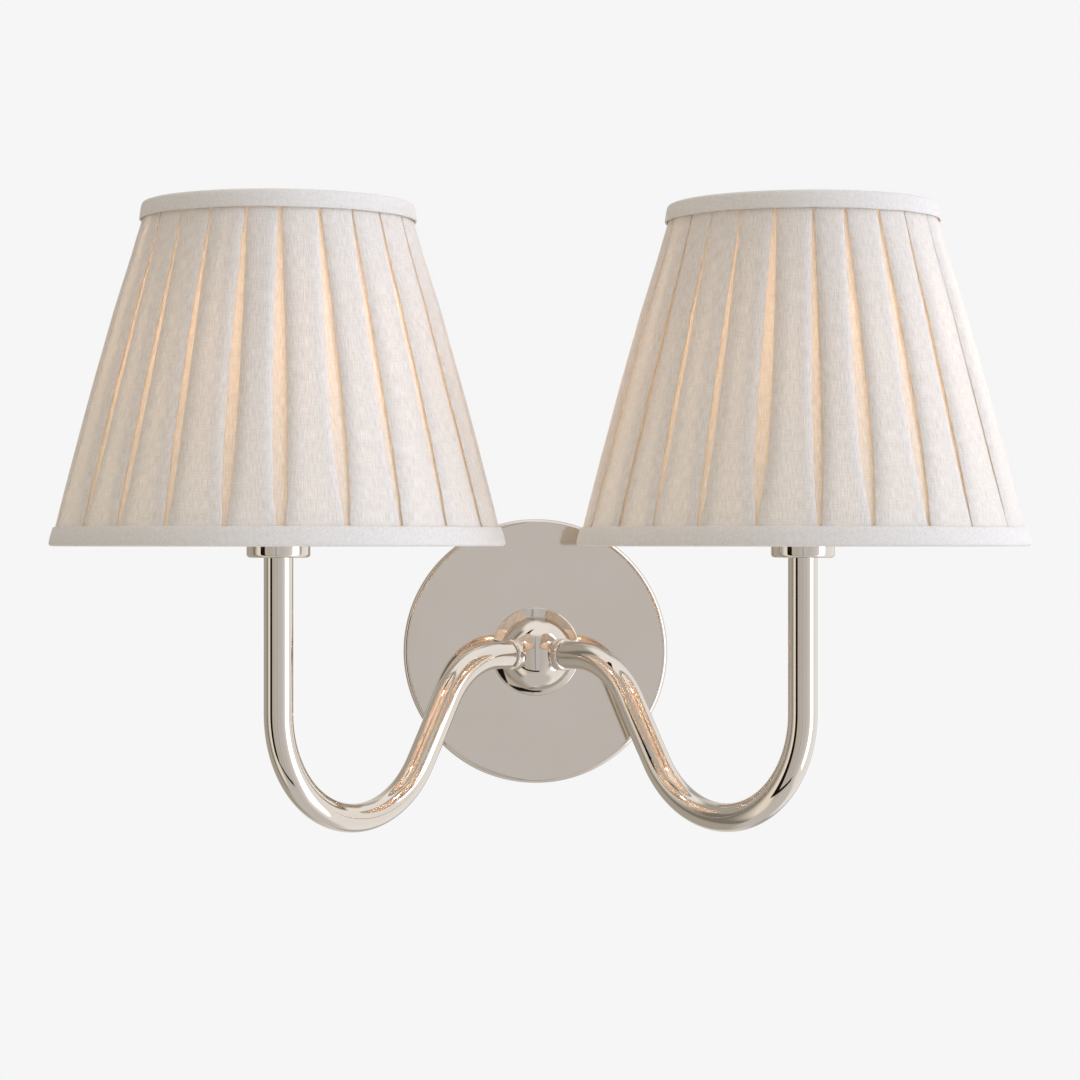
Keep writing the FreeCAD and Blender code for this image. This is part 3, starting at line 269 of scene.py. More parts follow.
def blown_glass():
    """Clear blown glass: colourless, with a hard gloss and the slight waves of blowing."""
    material, tree = new_material("blown_glass")
    place = add_node(tree, "TexCoord").outputs["Object"]
    waves = add_node(tree, "TexNoise", {"Vector": place, "Scale": per_metre(12), "Detail": 1.0})
    surface = add_node(tree, "Bump", {"Height": waves.outputs[0], "Strength": 0.05,
                                      "Distance": 0.1 * MM})
    glass = add_node(tree, "BsdfPrincipled", {
        "Base Color": linear("fdfcfa"), "Roughness": 0.02, "IOR": 1.52,
        "Transmission Weight": 1.0, "Normal": surface.outputs[0]})
    add_node(tree, "OutputMaterial", {"Surface": glass.outputs[0]})
    return material


def lit_filament():
    """Phosphor coated filament sticks, lit: a warm glow with grains along the stick."""
    material, tree = new_material("lit_filament")
    place = add_node(tree, "TexCoord").outputs["Object"]
    grains = add_node(tree, "TexNoise", {"Vector": place, "Scale": per_metre(2), "Detail": 1.0})
    tone = add_node(tree, "Mix", {MIX_FACTOR: grains.outputs[0], MIX_FIRST: linear("ffdcb6"),
                                  MIX_SECOND: linear("ffca94")}, data_type="RGBA")
    stick = add_node(tree, "BsdfPrincipled", {
        "Base Color": tone.outputs[MIX_RESULT], "Roughness": 0.6,
        "Emission Color": tone.outputs[MIX_RESULT], "Emission Strength": 5.0})
    add_node(tree, "OutputMaterial", {"Surface": stick.outputs[0]})
    return material


def woven_cloth(name, pale, shaded, slub_mm, relief_mm, clear_in_valleys, clear_on_faces,
                bias_degrees=0.0):
    """Plain woven cloth: slubby warp threads, a fainter weft, and light that comes through. Its
    threads get the pale colour on top and the shaded colour, which is painted shade, in the low
    places between them.
    The real threads are about 0.5 mm apart, too fine to show, so they are drawn about 1 mm apart."""
    material, tree = new_material(name)
    cloth = add_node(tree, "Attribute", attribute_name="cloth").outputs["Vector"]
    turned = add_node(tree, "Mapping", {"Vector": cloth,
                                        "Rotation": (0, 0, math.radians(bias_degrees))})
    raised = add_node(tree, "SeparateXYZ", {0: cloth}).outputs["Z"]
    upright = add_node(tree, "Mapping", {"Vector": turned.outputs[0],
                                         "Scale": (per_metre(THREAD_MM), per_metre(slub_mm), 0)})
    across = add_node(tree, "Mapping", {"Vector": turned.outputs[0],
                                        "Scale": (per_metre(slub_mm), per_metre(THREAD_MM), 0)})
    warp = add_node(tree, "TexNoise", {"Vector": upright.outputs[0], "Scale": 1.0, "Detail": 2.0})
    weft = add_node(tree, "TexNoise", {"Vector": across.outputs[0], "Scale": 1.0, "Detail": 2.0})
    weave = add_node(tree, "Mix", {0: WEFT_SHARE, 2: warp.outputs[0], 3: weft.outputs[0]})
    contrast = add_node(tree, "MapRange", {"Value": weave.outputs[0], "From Min": 0.35,
                                           "From Max": 0.65})
    # The tone runs from the shaded colour in the weave's low places to the pale one on its high
    # threads: painted shade between the threads, as well as the slubs' own uneven colour
    tone = add_node(tree, "Mix", {MIX_FACTOR: contrast.outputs[0], MIX_FIRST: linear(shaded),
                                  MIX_SECOND: linear(pale)}, data_type="RGBA")
    relief = add_node(tree, "Bump", {"Height": contrast.outputs[0], "Strength": 0.4,
                                     "Distance": relief_mm * MM})
    share = add_node(tree, "MapRange", {"Value": raised, "To Min": clear_in_valleys,
                                        "To Max": clear_on_faces})
    face = add_node(tree, "BsdfPrincipled", {
        "Base Color": tone.outputs[MIX_RESULT], "Roughness": 0.85, "IOR": 1.5,
        "Specular IOR Level": 0.25, "Sheen Weight": 0.1, "Sheen Roughness": 0.5,
        "Normal": relief.outputs[0]})
    yellowed = add_node(tree, "Mix", {MIX_FACTOR: 1.0, MIX_FIRST: tone.outputs[MIX_RESULT],
                                      MIX_SECOND: linear(LIGHT_THROUGH_CLOTH)},
                        data_type="RGBA", blend_type="MULTIPLY")
    through = add_node(tree, "BsdfTranslucent", {"Color": yellowed.outputs[MIX_RESULT],
                                                 "Normal": relief.outputs[0]})
    both = add_node(tree, "MixShader", {0: share.outputs[0], 1: face.outputs[0],
                                        2: through.outputs[0]})
    add_node(tree, "OutputMaterial", {"Surface": both.outputs[0]})
    return material


# What each material slot of the record is made of
FINISHES = {
    "polished_nickel": polished_nickel_plate(),
    # Cool grey, a little cloudy and hardly shiny
    "zinc_plated_steel": plated_metal("zinc_plated_steel", "c9ccce", "aeb2b5", 1.2, 0.28, 0.42),
    # Yellow, with a shine broken by the lathe's marks
    "brass": plated_metal("turned_brass", "dcb774", "c79f5c", 2.0, 0.22, 0.35),
    # Milky off-white with a dull gloss
    "terminal_polyamide": moulded_plastic(
        "moulded_polyamide", "e6e3d9", "dcd8cc", 0.6, 0.4, 0.5, 1.53),
    # Warm white with a soft gloss
    "holder_thermoplastic": moulded_plastic(
        "moulded_thermoplastic", "efece4", "e6e2d8", 0.5, 0.3, 0.4, 1.5),
    # White and nearly dull, as soft sheath is
    "cable_sheath": moulded_plastic(
        "extruded_cable_sheath", "ebe9e3", "e0ddd5", 0.8, 0.45, 0.55, 1.53),
    # Pale warm grey with a satin shine
    "bulb_cap_metal": plated_metal("nickel_plated_cap", "cfccc5", "bdb9b0", 1.0, 0.18, 0.28),
    # Brown-black and glossy
    "bulb_insulator": moulded_plastic(
        "vitrified_insulator", "1a1715", "0f0d0c", 0.7, 0.1, 0.2, 1.52),
    "bulb_glass": blown_glass(),
    "filament": lit_filament(),
    # Off-white linen with long slubs, which glows most in the valleys, where it is one layer thick
    "pleated_linen": woven_cloth("pleated_linen", "fdf9f5", "eae2d9", 5.0, 0.2, 0.43, 0.20),
    # Linen cut on the bias and folded, so its threads slant and hardly any light comes through
    "linen_trim": woven_cloth(
        "bias_cut_linen_tape", "f9f2ec", "eae2da", 2.5, 0.2, 0.08, 0.08, 45.0),
    # Thin smooth cotton, which lets most of the light through
    "shade_lining": woven_cloth("cotton_lining", "fcfaf8", "f6f4f1", 4.0, 0.03, 0.60, 0.60),
    # White enamel on steel wire, with a soft gloss
    "coated_wire": moulded_plastic(
        "coated_steel_wire", "f1efea", "e8e5de", 0.8, 0.3, 0.4, 1.5),
}

for part in frame["record"]["subparts"]:
    for material_slot in frame["nodes"][part["node"]].material_slots:
        material_slot.material = FINISHES[part["material_slot"]]


def add_piece(name, points, faces, slot, body, cloth_places):
    """A mesh piece that rides on a body. Points are in metres, in the object's own frame. Cloth
    places are where the points lie in the flat cloth, with 1 on a raised face and 0 elsewhere."""
    mesh = bpy.data.meshes.new(name)
    mesh.from_pydata(points, [], faces)
    mesh.shade_smooth()
    mesh.materials.append(FINISHES[slot])
    places = mesh.attributes.new("cloth", "FLOAT_VECTOR", "POINT")
    places.data.foreach_set("vector", [value for place in cloth_places for value in place])
    piece = bpy.data.objects.new(name, mesh)
    bpy.context.scene.collection.objects.link(piece)
    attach(piece, body)
    return piece


def grid_faces(rows, columns):
    """Faces between points that stand in rows, one row after the other."""
    faces = []
    for row in range(rows - 1):
        for column in range(columns - 1):
            corner = row * columns + column
            faces.append((corner, corner + 1, corner + columns + 1, corner + columns))
    return faces


def shade_cone(side):
    """The cone that the trims' outer faces lie on, from the frame: its axis, its hem's height and
    radius, its own height and slope, and how much longer its slant is than its height."""
    bottom_low, bottom_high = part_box(f"bottom_trim_{side}")
    top_low, top_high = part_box(f"top_trim_{side}")
    base = (bottom_high.x - bottom_low.x) / 2
    under_top_trim = (top_high.x - top_low.x) / 2
    slope = (base - under_top_trim) / (top_low.z - bottom_low.z)
    middle = (bottom_low + bottom_high) / 2
    return SimpleNamespace(x=middle.x, y=middle.y, hem=bottom_low.z, base=base, slope=slope,
                           height=top_high.z - bottom_low.z, stretch=math.hypot(1, slope))


def on_cone(cone, angle, height, depth):
    """A point at an angle round the shade and a height above its hem, this deep in its wall."""
    radius = cone.base - cone.slope * height - depth
    return (cone.x + radius * math.cos(angle), cone.y + radius * math.sin(angle), cone.hem + height)


def between(stations, share):
    """Smooth reading of a short list of (share, value) stations."""
    for (low, first), (high, second) in zip(stations, stations[1:]):
        if share <= high:
            part = (share - low) / (high - low)
            return first + (second - first) * part * part * (3 - 2 * part)
    return stations[-1][1]


def make_valleys(side):
    """One entry for each valley: its angle, and how it differs from its neighbours."""
    chance = random.Random(f"pleats {side}")
    step = math.tau / PLEAT_COUNT
    facing = math.radians(VALLEY_BEARING[side] - 90)
    back = facing + step * (PLEAT_COUNT // 2 + 1)
    seen = list(zip(VALLEY_STRAY[side], VALLEY_OPENING[side]))
    first_seen = PLEAT_COUNT // 2 - len(seen) // 2
    valleys = []
    for index in range(PLEAT_COUNT):
        if first_seen <= index < first_seen + len(seen):
            stray, opening = seen[index - first_seen]
        else:
            stray, opening = chance.uniform(*HIDDEN_STRAY), chance.uniform(*HIDDEN_OPENING)
        valleys.append(SimpleNamespace(
            angle=back + step * index + math.radians(stray),
            sway=chance.uniform(*VALLEY_SWAY) * MM,
            before=chance.uniform(*VALLEY_HALF),
            after=chance.uniform(*VALLEY_HALF),
            opens=opening,
            foot=chance.uniform(*VALLEY_FOOT)))
    first = valleys[0]
    valleys.append(SimpleNamespace(**{**vars(first), "angle": first.angle + math.tau}))
    return valleys


def fold(start, end, turning):
    """Half circle between two layers of cloth, from one depth to the other. It bulges forwards
    where turning is 1 and backwards where it is -1."""
    middle = (start[1] + end[1]) / 2
    radius = (end[1] - start[1]) / 2
    points = []
    for step in range(FOLD_STEPS + 1):
        angle = math.pi * step / FOLD_STEPS
        bulge = abs(radius) * math.sin(angle) * turning
        points.append((start[0] + bulge, middle - radius * math.cos(angle)))
    return points


def half_valley(valley, share, half_factor):
    """Half the valley's width at a share of the height. Some valleys stay open down to the hem."""
    near_foot = max(1 - share / VALLEY_FOOT_SHARE, 0.0)
    usual = between(VALLEY_WIDTHS, share) / 2 * MM
    return usual * half_factor * valley.opens * valley.foot ** near_foot


def pleat_path(length, before, after, under, share):
    """One pleat from valley centre to valley centre: distance round, depth, where that thread lies
    from the last valley's middle in the flat cloth, and 1 on the outer face or 0 in the valleys."""
    swell = math.sin(math.pi * share) ** SWELL_POWER
    face = (FACE_DEPTH - PLEAT_PUFF * swell) * MM
    roll = EDGE_ROLL * swell * MM
    edge = face + roll
    second = edge + FOLD_THICKNESS * MM
    deep = (VALLEY_DEPTH + VALLEY_SINK * swell) * MM
    inner = deep - FOLD_THICKNESS * MM
    crown = PLEAT_CROWN * swell * MM
    end = length - after
    under = min(under, length / 2 - max(before, after) - UNDERLAP_GAP * MM)
    path = [(0, deep), (before, deep), (before + under / 2, deep)]
    path += fold((before + under, deep), (before + under, inner), 1)
    path.append((before + under / 2, (inner + second) / 2))
    path += fold((before, second), (before, edge), -1)
    outer_start = len(path)
    for step in range(1, BAND_STEPS):
        part = (1 - math.cos(math.pi * step / BAND_STEPS)) / 2
        place = before + (end - before) * part
        from_edge = min(place - before, end - place) / (EDGE_ROLL_WIDTH * MM)
        rise = crown * (1 - (2 * part - 1) ** CROWN_POWER)
        path.append((place, face - rise + roll * max(1 - from_edge, 0.0) ** ROLL_POWER))
    outer_end = len(path)
    path += fold((end, edge), (end, second), 1)
    path.append((end - under / 2, (inner + second) / 2))
    path += fold((end - under, inner), (end - under, deep), -1)
    path += [(end - under / 2, deep), (end, deep)]
    half_fold = FOLD_STEPS // 2 + 1
    steps = []
    for at, (distance, depth) in enumerate(path):
        if outer_start - half_fold <= at < outer_end + half_fold:
            steps.append((distance, depth, PLEAT_CUT_METRES / 2 + distance - length / 2, 1.0))
        else:
            thread = distance if at < outer_start else PLEAT_CUT_METRES + distance - length
            steps.append((distance, depth, thread, 0.0))
    return steps


def make_pleated_cover(side, cone):
    """Box pleated linen: each pleat folds back under itself on both sides of its valley."""
    valleys = make_valleys(side)
    points, places = [], []
    low = CLOTH_EDGE_INSET * MM
    span = cone.height - 2 * low
    for row in range(CLOTH_ROWS):
        share = row / (CLOTH_ROWS - 1)
        height = low + span * share
        radius = cone.base - cone.slope * height
        under = (PLEAT_CUT_METRES - math.tau * radius / PLEAT_COUNT) / 4
        looseness = math.sin(math.pi * share)
        row_points = []
        for pleat, (valley, following) in enumerate(zip(valleys, valleys[1:])):
            start = valley.angle + valley.sway * looseness / radius
            end = following.angle + following.sway * looseness / radius
            before = half_valley(valley, share, valley.after)
            after = half_valley(following, share, following.before)
            steps = pleat_path((end - start) * radius, before, after, under, share)
            for distance, depth, thread, raised in steps:
                along = pleat * PLEAT_CUT_METRES + thread
                row_points.append((start + distance / radius, depth, along, raised))
        last = valleys[-1].angle + valleys[-1].sway * looseness / radius
        row_points.append((last, row_points[0][1], PLEAT_COUNT * PLEAT_CUT_METRES, 0.0))
        drawn_in = between(CLOTH_DRAW_IN, share) * MM
        for angle, depth, along, raised in row_points:
            spot = Vector((angle * PLEAT_WAVES_PER_RADIAN, height * PLEAT_WAVES_PER_METRE, cone.x))
            ripple = noise.noise(spot) * PLEAT_RIPPLE * MM * looseness
            points.append(on_cone(cone, angle, height, depth + drawn_in - ripple))
            places.append((along, height * cone.stretch, raised))
    columns = len(points) // CLOTH_ROWS
    piece = add_piece(f"pleated_linen_{side}", points, grid_faces(CLOTH_ROWS, columns),
                      "pleated_linen", f"shade_{side}", places)
    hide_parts(f"pleated_cover_{side}")


def noise_round(angle, waves, place):
    """Noise from -1 to 1, the same each run, that closes on itself round a shade."""
    return noise.noise(Vector((math.cos(angle) * waves, math.sin(angle) * waves, place)))


def make_lining(side, cone):
    """Smooth cone of thin cloth behind the pleats."""
    points, places = [], []
    low = CLOTH_EDGE_INSET * MM
    span = cone.height - 2 * low
    for row in range(LINING_ROWS):
        share = row / (LINING_ROWS - 1)
        height = low + span * share
        drawn_in = max(between(CLOTH_DRAW_IN, share), 0.0)
        for column in range(LINING_COLUMNS + 1):
            angle = math.pi / 2 + math.tau * column / LINING_COLUMNS
            ripple = noise_round(angle, LINING_WAVES_ROUND, height * LINING_WAVES_PER_METRE)
            depth = (LINING_DEPTH + drawn_in + ripple * LINING_RIPPLE) * MM
            points.append(on_cone(cone, angle, height, depth))
            places.append((angle * cone.base, height * cone.stretch, 0))
    piece = add_piece(f"cotton_lining_{side}", points, grid_faces(LINING_ROWS, LINING_COLUMNS + 1),
                      "shade_lining", f"shade_{side}", places)
    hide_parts(f"shade_lining_{side}")


def arc(middle, level, reach, bulge, steps):
    """Half an ellipse from middle - reach to middle + reach, which bulges from its level."""
    angles = [math.pi * step / steps for step in range(steps + 1)]
    return [(middle - reach * math.cos(a), level + bulge * math.sin(a)) for a in angles]


def trim_section(width):
    """Outline of the folded tape as (depth, distance from the rim), in millimetres."""
    thick = TRIM_THICKNESS
    back = TRIM_INNER_DEPTH + thick
    outline = [(back, TRIM_INNER_LEG), (back, TRIM_INNER_LEG / 2)]
    outline += arc(back / 2, TRIM_RIM_ROUNDING, -back / 2, -TRIM_RIM_ROUNDING, TRIM_ROUND_STEPS)
    outline += [(-proud, width * share) for share, proud in TRIM_FACE_PROUD]
    outline += arc(thick / 2, width, thick / 2, TRIM_EDGE_ROUNDING, TRIM_SMALL_STEPS)
    outline += [(thick, width * TRIM_BACK_SHARE), (thick, TRIM_TURN_START)]
    reach = (TRIM_INNER_DEPTH - thick) / 2
    outline += arc(thick + reach, TRIM_TURN_LEVEL, reach, -TRIM_TURN_ROUNDING, TRIM_SMALL_STEPS)
    outline += [(TRIM_INNER_DEPTH, TRIM_INNER_LEG / 2), (TRIM_INNER_DEPTH, TRIM_INNER_LEG)]
    return outline


def ring_faces(columns, around):
    """Faces of a tube whose section has this many points, with a flat cap at each end."""
    faces = []
    for column in range(columns - 1):
        for point in range(around):
            low, high = column * around, (column + 1) * around
            following = (point + 1) % around
            faces.append((low + point, low + following, high + following, high + point))
    last = (columns - 1) * around
    faces.append(tuple(reversed(range(around))))
    faces.append(tuple(range(last, last + around)))
    return faces


def make_trim(side, cone, edge):
    """Bias tape folded over a rim. Its end laps over its start, towards the wall, and has risen on
    to it by half way."""
    width = TRIM_WIDTH[edge]
    section = trim_section(width)
    rim = 0.0 if edge == "bottom" else cone.height
    inward = 1 if edge == "bottom" else -1
    radius = cone.base - cone.slope * rim
    noise_place = cone.x * TRIM_NOISE_SPREAD + rim
    points, places = [], []
    for column in range(TRIM_COLUMNS + 1):
        turn = math.tau * column / TRIM_COLUMNS
        angle = math.pi / 2 + turn
        slow = noise_round(angle, TRIM_SLOW_WAVES_ROUND, noise_place)
        fine = noise_round(angle, TRIM_FINE_WAVES_ROUND, noise_place)
        into_lap = 1 - (math.tau - turn) * radius / (TRIM_LAP * MM)
        lapped = TRIM_LAP_RISE * min(max(2 * into_lap, 0.0), 1.0)
        travelled = 0.0
        last = section[0]
        for depth, distance in section:
            travelled += math.dist(last, (depth, distance))
            last = (depth, distance)
            proud = 0.0
            if depth < TRIM_THICKNESS / 2:
                proud = TRIM_SLOW_WAVE * slow + TRIM_FINE_WAVE * fine + lapped
            if depth <= TRIM_THICKNESS:
                proud -= TRIM_LEAN[edge] * (distance / width - TRIM_LEAN_ABOUT)
            wander = TRIM_WANDER * slow * distance / width
            height = rim + inward * (distance + wander) * MM
            points.append(on_cone(cone, angle, height, (depth - proud) * MM))
            places.append((turn * radius, travelled * MM, 0))
    faces = ring_faces(TRIM_COLUMNS + 1, len(section))
    if edge == "bottom":
        faces = [tuple(reversed(face)) for face in faces]
    piece = add_piece(f"{edge}_tape_{side}", points, faces, "linen_trim", f"shade_{side}", places)
    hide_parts(f"{edge}_trim_{side}")


def make_bulb_light(side):
    """The light that the lit bulb gives, from the height of its filaments."""
    low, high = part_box(f"bulb_filaments_{side}")
    lamp = bpy.data.lights.new(f"bulb_light_{side}", "POINT")
    lamp.energy = BULB_WATTS
    lamp.color = linear(BULB_COLOUR)[:3]
    lamp.shadow_soft_size = BULB_GLOW_RADIUS_MM * MM
    light = bpy.data.objects.new(lamp.name, lamp)
    light.location = (low + high) / 2
    bpy.context.scene.collection.objects.link(light)
    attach(light, f"bulb_{side}")
    for name in ("bulb_glass", "bulb_stem", "bulb_filaments"):
        frame["nodes"][f"{name}_{side}"].visible_shadow = False


for side in SIDES:
    cone = shade_cone(side)
    make_pleated_cover(side, cone)
    make_lining(side, cone)
    make_trim(side, cone, "top")
    make_trim(side, cone, "bottom")
    make_bulb_light(side)


# Paper all round, which only the camera sees, and a floor as far down as under a real wall light.
# The floor fades out between two shares of its reach. In metres.
PAPER = "f6f6f6"
PAPER_DISTANCE = 6.0
PAPER_RINGS = 24
FLOOR_HEIGHT = -1.7
FLOOR_REACH = 2.4
FLOOR_FADE = (0.4, 0.9)
FLOOR_SIDES = 96

# Light tent, which lights the object and shows in its reflections: the brightness by the degrees
# round from its front, to the right. The front is a grey screen, with a dark seam at -5 degrees.
# Heights are the upward part of a direction, 1 straight up.
TENT_ROUND = (
    (-180, 0.85), (-165, 0.70), (-150, 0.48), (-141, 0.45), (-124, 0.52), (-101, 0.48),
    (-96, 0.24), (-91, 0.26), (-82, 0.75), (-74, 1.06), (-60, 1.04), (-46, 0.64),
    (-28, 0.60), (-12, 0.66), (-7.5, 0.68), (-5.5, 0.40), (-4.0, 0.40), (-2.2, 0.71),
    (3.6, 0.71), (12, 0.66), (28, 0.72), (45, 0.82), (57, 1.05), (90, 1.05), (131, 1.10),
    (148, 1.05), (158, 0.50), (168, 0.55), (180, 0.85),
)
TENT_WARM_SIDE = "fffbf0"
TENT_COOL_SIDE = "fdfeff"
WARM_SIDE_END = -20
TENT_TOP = 1.12
TENT_FLOOR = 0.70
TENT_FADE = (0.80, 0.92)

# Tall bright window on the tent's right
WINDOW = 3.35
WINDOW_COLOUR = "dce9ff"
WINDOW_ROUND = (58, 81)
WINDOW_ROUND_EDGE = 2
WINDOW_HEIGHTS = (-0.66, 0.78)
WINDOW_HEIGHT_EDGE = 0.06

# Dark gaps at the screen's left side and foot, in distances on a plane one unit in front
GAP_BRIGHTNESS = 0.01
SCREEN_LEFT = -1.04
SCREEN_FOOT = -1.33
LEFT_GAP = 0.95
FOOT_GAP = 0.22
FOOT_GAP_END = 0.15
GAP_EDGE = 0.05
LEAST_AHEAD = 0.02
AHEAD_FADE = (0.05, 0.15)


def soft_step(tree, value, start, end):
    """0 below start and 1 above end, or the other way round when end is the lower."""
    low, high = min(start, end), max(start, end)
    rising = 1.0 if end > start else 0.0
    step = add_node(tree, "MapRange", {"Value": value, "From Min": low, "From Max": high,
                                       "To Min": 1 - rising, "To Max": rising},
                    interpolation_type="SMOOTHSTEP")
    return step.outputs[0]


def product(tree, values):
    """All the values multiplied together."""
    result = values[0]
    for value in values[1:]:
        result = add_node(tree, "Math", {0: result, 1: value}, operation="MULTIPLY").outputs[0]
    return result


def inside(tree, value, low, high, edge):
    """1 between two values and 0 outside them, with soft edges on the outside."""
    return product(tree, [soft_step(tree, value, low - edge, low),
                          soft_step(tree, value, high + edge, high)])


def beside_window(brightness, colour):
    """A colour of this brightness as a share of the window's, which is the tent's full strength."""
    return (*[brightness / WINDOW * channel for channel in linear(colour)[:3]], 1)


def laid_over(tree, below, mask, brightness, colour="ffffff"):
    """A patch of one brightness over what is below it, where the mask is 1."""
    over = add_node(tree, "Mix", {MIX_FACTOR: mask, MIX_FIRST: below,
                                  MIX_SECOND: beside_window(brightness, colour)}, data_type="RGBA")
    return over.outputs[MIX_RESULT]


def tent_round(tree, angle):
    """The tent's brightness and tint by the angle round from its front."""
    around = add_node(tree, "MapRange", {"Value": angle, "From Min": -math.pi, "From Max": math.pi})
    ramp = add_node(tree, "ValToRGB", {0: around.outputs[0]})
    stops = ramp.color_ramp.elements
    while len(stops) < len(TENT_ROUND):
        stops.new(0.5)
    for stop, (degrees, _) in zip(stops, TENT_ROUND):
        stop.position = (degrees + 180) / 360
    for stop, (degrees, brightness) in zip(stops, TENT_ROUND):
        tint = TENT_WARM_SIDE if degrees < WARM_SIDE_END else TENT_COOL_SIDE
        stop.color = beside_window(brightness, tint)
    return ramp.outputs[0]


def screen_gaps(tree, sideways, height, ahead):
    """1 in the dark gaps beside and under the screen, and 0 elsewhere."""
    reach = add_node(tree, "Math", {0: ahead, 1: LEAST_AHEAD}, operation="MAXIMUM").outputs[0]
    across = add_node(tree, "Math", {0: sideways, 1: reach}, operation="DIVIDE").outputs[0]
    upward = add_node(tree, "Math", {0: height, 1: reach}, operation="DIVIDE").outputs[0]
    in_front = soft_step(tree, ahead, *AHEAD_FADE)
    left_gap = product(tree, [
        in_front, inside(tree, across, SCREEN_LEFT - LEFT_GAP, SCREEN_LEFT, GAP_EDGE),
        soft_step(tree, upward, SCREEN_FOOT - FOOT_GAP - GAP_EDGE, SCREEN_FOOT - FOOT_GAP)])
    foot_gap = product(tree, [
        in_front, inside(tree, upward, SCREEN_FOOT - FOOT_GAP, SCREEN_FOOT, GAP_EDGE),
        inside(tree, across, SCREEN_LEFT - LEFT_GAP, FOOT_GAP_END, 3 * GAP_EDGE)])
    return add_node(tree, "Math", {0: left_gap, 1: foot_gap}, operation="MAXIMUM").outputs[0]


def make_tent():
    """The light tent as the world's light."""
    world = bpy.data.worlds.new("light_tent")
    world.use_nodes = True
    tree = world.node_tree
    tree.nodes.clear()
    direction = add_node(tree, "TexCoord").outputs["Generated"]
    parts = add_node(tree, "SeparateXYZ", {0: direction})
    sideways, height = parts.outputs["X"], parts.outputs["Z"]
    ahead = add_node(tree, "Math", {0: parts.outputs["Y"], 1: -1.0}, operation="MULTIPLY").outputs[0]
    angle = add_node(tree, "Math", {0: sideways, 1: ahead}, operation="ARCTAN2").outputs[0]
    fade_start, fade_end = TENT_FADE
    top = soft_step(tree, height, fade_start, fade_end)
    floor = soft_step(tree, height, -fade_start, -fade_end)
    window = product(tree, [
        inside(tree, angle, *map(math.radians, (*WINDOW_ROUND, WINDOW_ROUND_EDGE))),
        inside(tree, height, *WINDOW_HEIGHTS, WINDOW_HEIGHT_EDGE)])
    light = laid_over(tree, tent_round(tree, angle), top, TENT_TOP)
    light = laid_over(tree, light, floor, TENT_FLOOR)
    light = laid_over(tree, light, window, WINDOW, WINDOW_COLOUR)
    light = laid_over(tree, light, screen_gaps(tree, sideways, height, ahead), GAP_BRIGHTNESS)
    glow = add_node(tree, "Background", {"Color": light, "Strength": WINDOW})
    add_node(tree, "OutputWorld", {"Surface": glow.outputs[0]})
    bpy.context.scene.world = world


def flat_light(name, colour):
    """Paper that is lit evenly, so that it shows one pale colour everywhere."""
    material, tree = new_material(name)
    glow = add_node(tree, "Emission", {"Color": linear(colour), "Strength": 1.0})
    add_node(tree, "OutputMaterial", {"Surface": glow.outputs[0]})
    return material


def make_backdrop():
    """Even pale paper all round, which only the camera sees."""
    sides = 2 * PAPER_RINGS
    points = []
    for ring in range(PAPER_RINGS + 1):
        polar = math.pi * ring / PAPER_RINGS
        for step in range(sides):
            angle = math.tau * step / sides
            direction = Vector((math.sin(polar) * math.cos(angle), math.sin(polar) * math.sin(angle),
                                math.cos(polar)))
            points.append(direction * PAPER_DISTANCE)
    faces = []
    for ring in range(PAPER_RINGS):
        for step in range(sides):
            following = (step + 1) % sides
            low, high = ring * sides, (ring + 1) * sides
            faces.append((low + step, low + following, high + following, high + step))
    mesh = bpy.data.meshes.new("backdrop")
    mesh.from_pydata(points, [], faces)
    mesh.shade_smooth()
    mesh.materials.append(flat_light("backdrop_paper", PAPER))
    dome = bpy.data.objects.new("backdrop", mesh)
    bpy.context.scene.collection.objects.link(dome)
    dome.visible_diffuse = dome.visible_glossy = dome.visible_shadow = False
    dome.visible_transmission = False


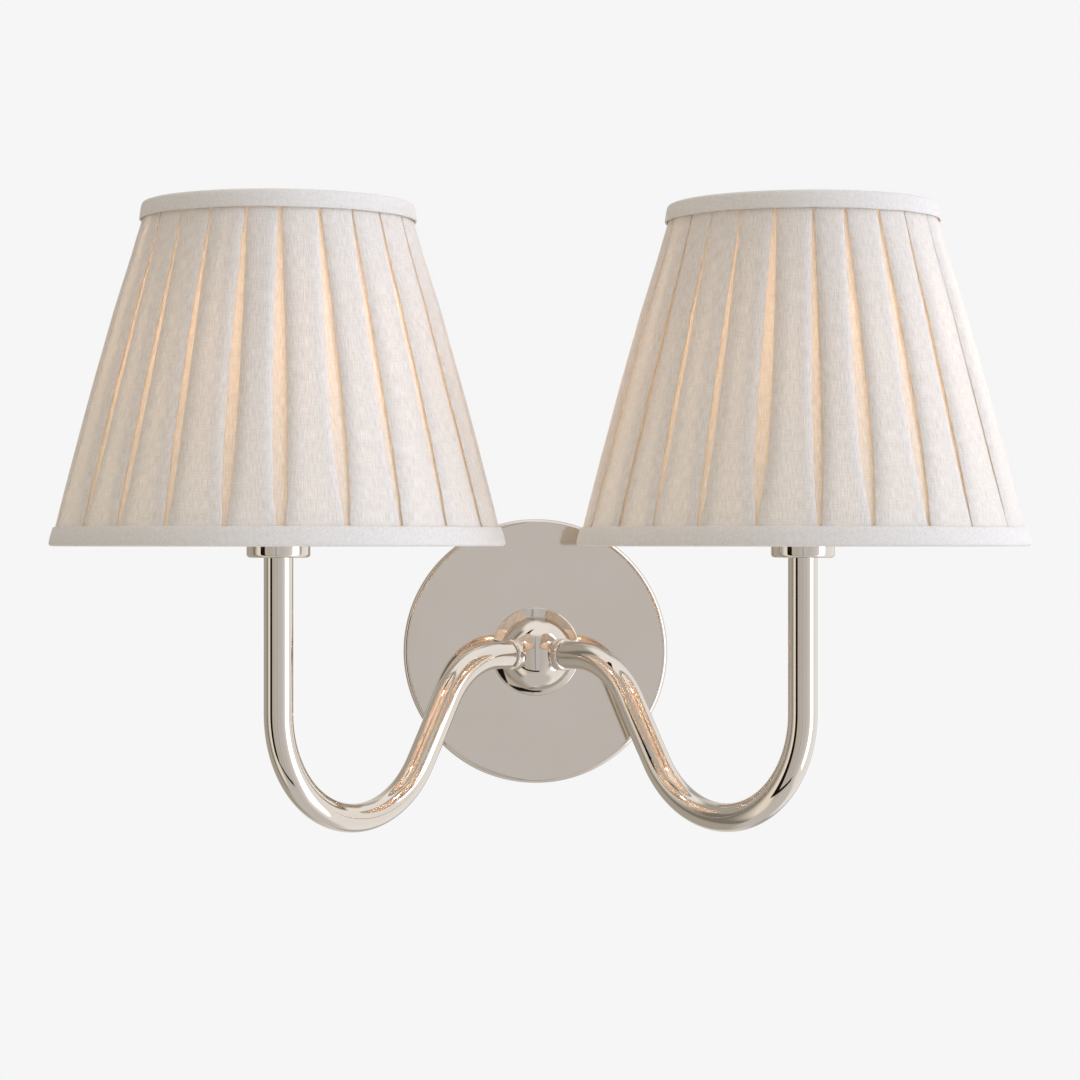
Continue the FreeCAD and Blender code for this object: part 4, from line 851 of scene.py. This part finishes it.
def make_floor():
    """Plain pale paper on the floor, which fades out into the backdrop."""
    material, tree = new_material("floor_paper")
    place = add_node(tree, "TexCoord").outputs["Object"]
    reach = add_node(tree, "VectorMath", {0: place}, operation="LENGTH").outputs["Value"]
    fibres = add_node(tree, "TexNoise", {"Vector": place, "Scale": per_metre(3), "Detail": 3.0})
    tone = add_node(tree, "Mix", {MIX_FACTOR: fibres.outputs[0], MIX_FIRST: linear("f7f7f7"),
                                  MIX_SECOND: linear("f3f3f3")}, data_type="RGBA")
    paper = add_node(tree, "BsdfPrincipled", {"Base Color": tone.outputs[MIX_RESULT],
                                              "Roughness": 0.9})
    clear = add_node(tree, "BsdfTransparent")
    fade = soft_step(tree, reach, *[FLOOR_REACH * share for share in FLOOR_FADE])
    blend = add_node(tree, "MixShader", {0: fade, 1: paper.outputs[0], 2: clear.outputs[0]})
    add_node(tree, "OutputMaterial", {"Surface": blend.outputs[0]})
    angles = [math.tau * at / FLOOR_SIDES for at in range(FLOOR_SIDES)]
    rim = [(FLOOR_REACH * math.cos(angle), FLOOR_REACH * math.sin(angle), 0) for angle in angles]
    mesh = bpy.data.meshes.new("floor")
    mesh.from_pydata(rim, [], [tuple(range(FLOOR_SIDES))])
    mesh.materials.append(material)
    floor = bpy.data.objects.new("floor", mesh)
    floor.location = (0, 0, FLOOR_HEIGHT)
    bpy.context.scene.collection.objects.link(floor)
    floor.visible_glossy = floor.visible_diffuse = floor.visible_shadow = False


def make_camera():
    """The photograph's camera, which looks level at the wall."""
    lens = bpy.data.cameras.new("photo_camera")
    lens.sensor_width = SENSOR_WIDTH_MM
    lens.lens = SENSOR_WIDTH_MM * FOCAL_PIXELS / FRAME_PIXELS
    camera = bpy.data.objects.new("photo_camera", lens)
    camera.location = CAMERA_PLACE
    camera.rotation_euler = (math.radians(90), 0, math.radians(-CAMERA_YAW_DEGREES))
    bpy.context.scene.collection.objects.link(camera)
    bpy.context.scene.camera = camera


make_tent()
make_backdrop()
make_floor()
make_camera()
bpy.context.scene.view_settings.view_transform = "Standard"
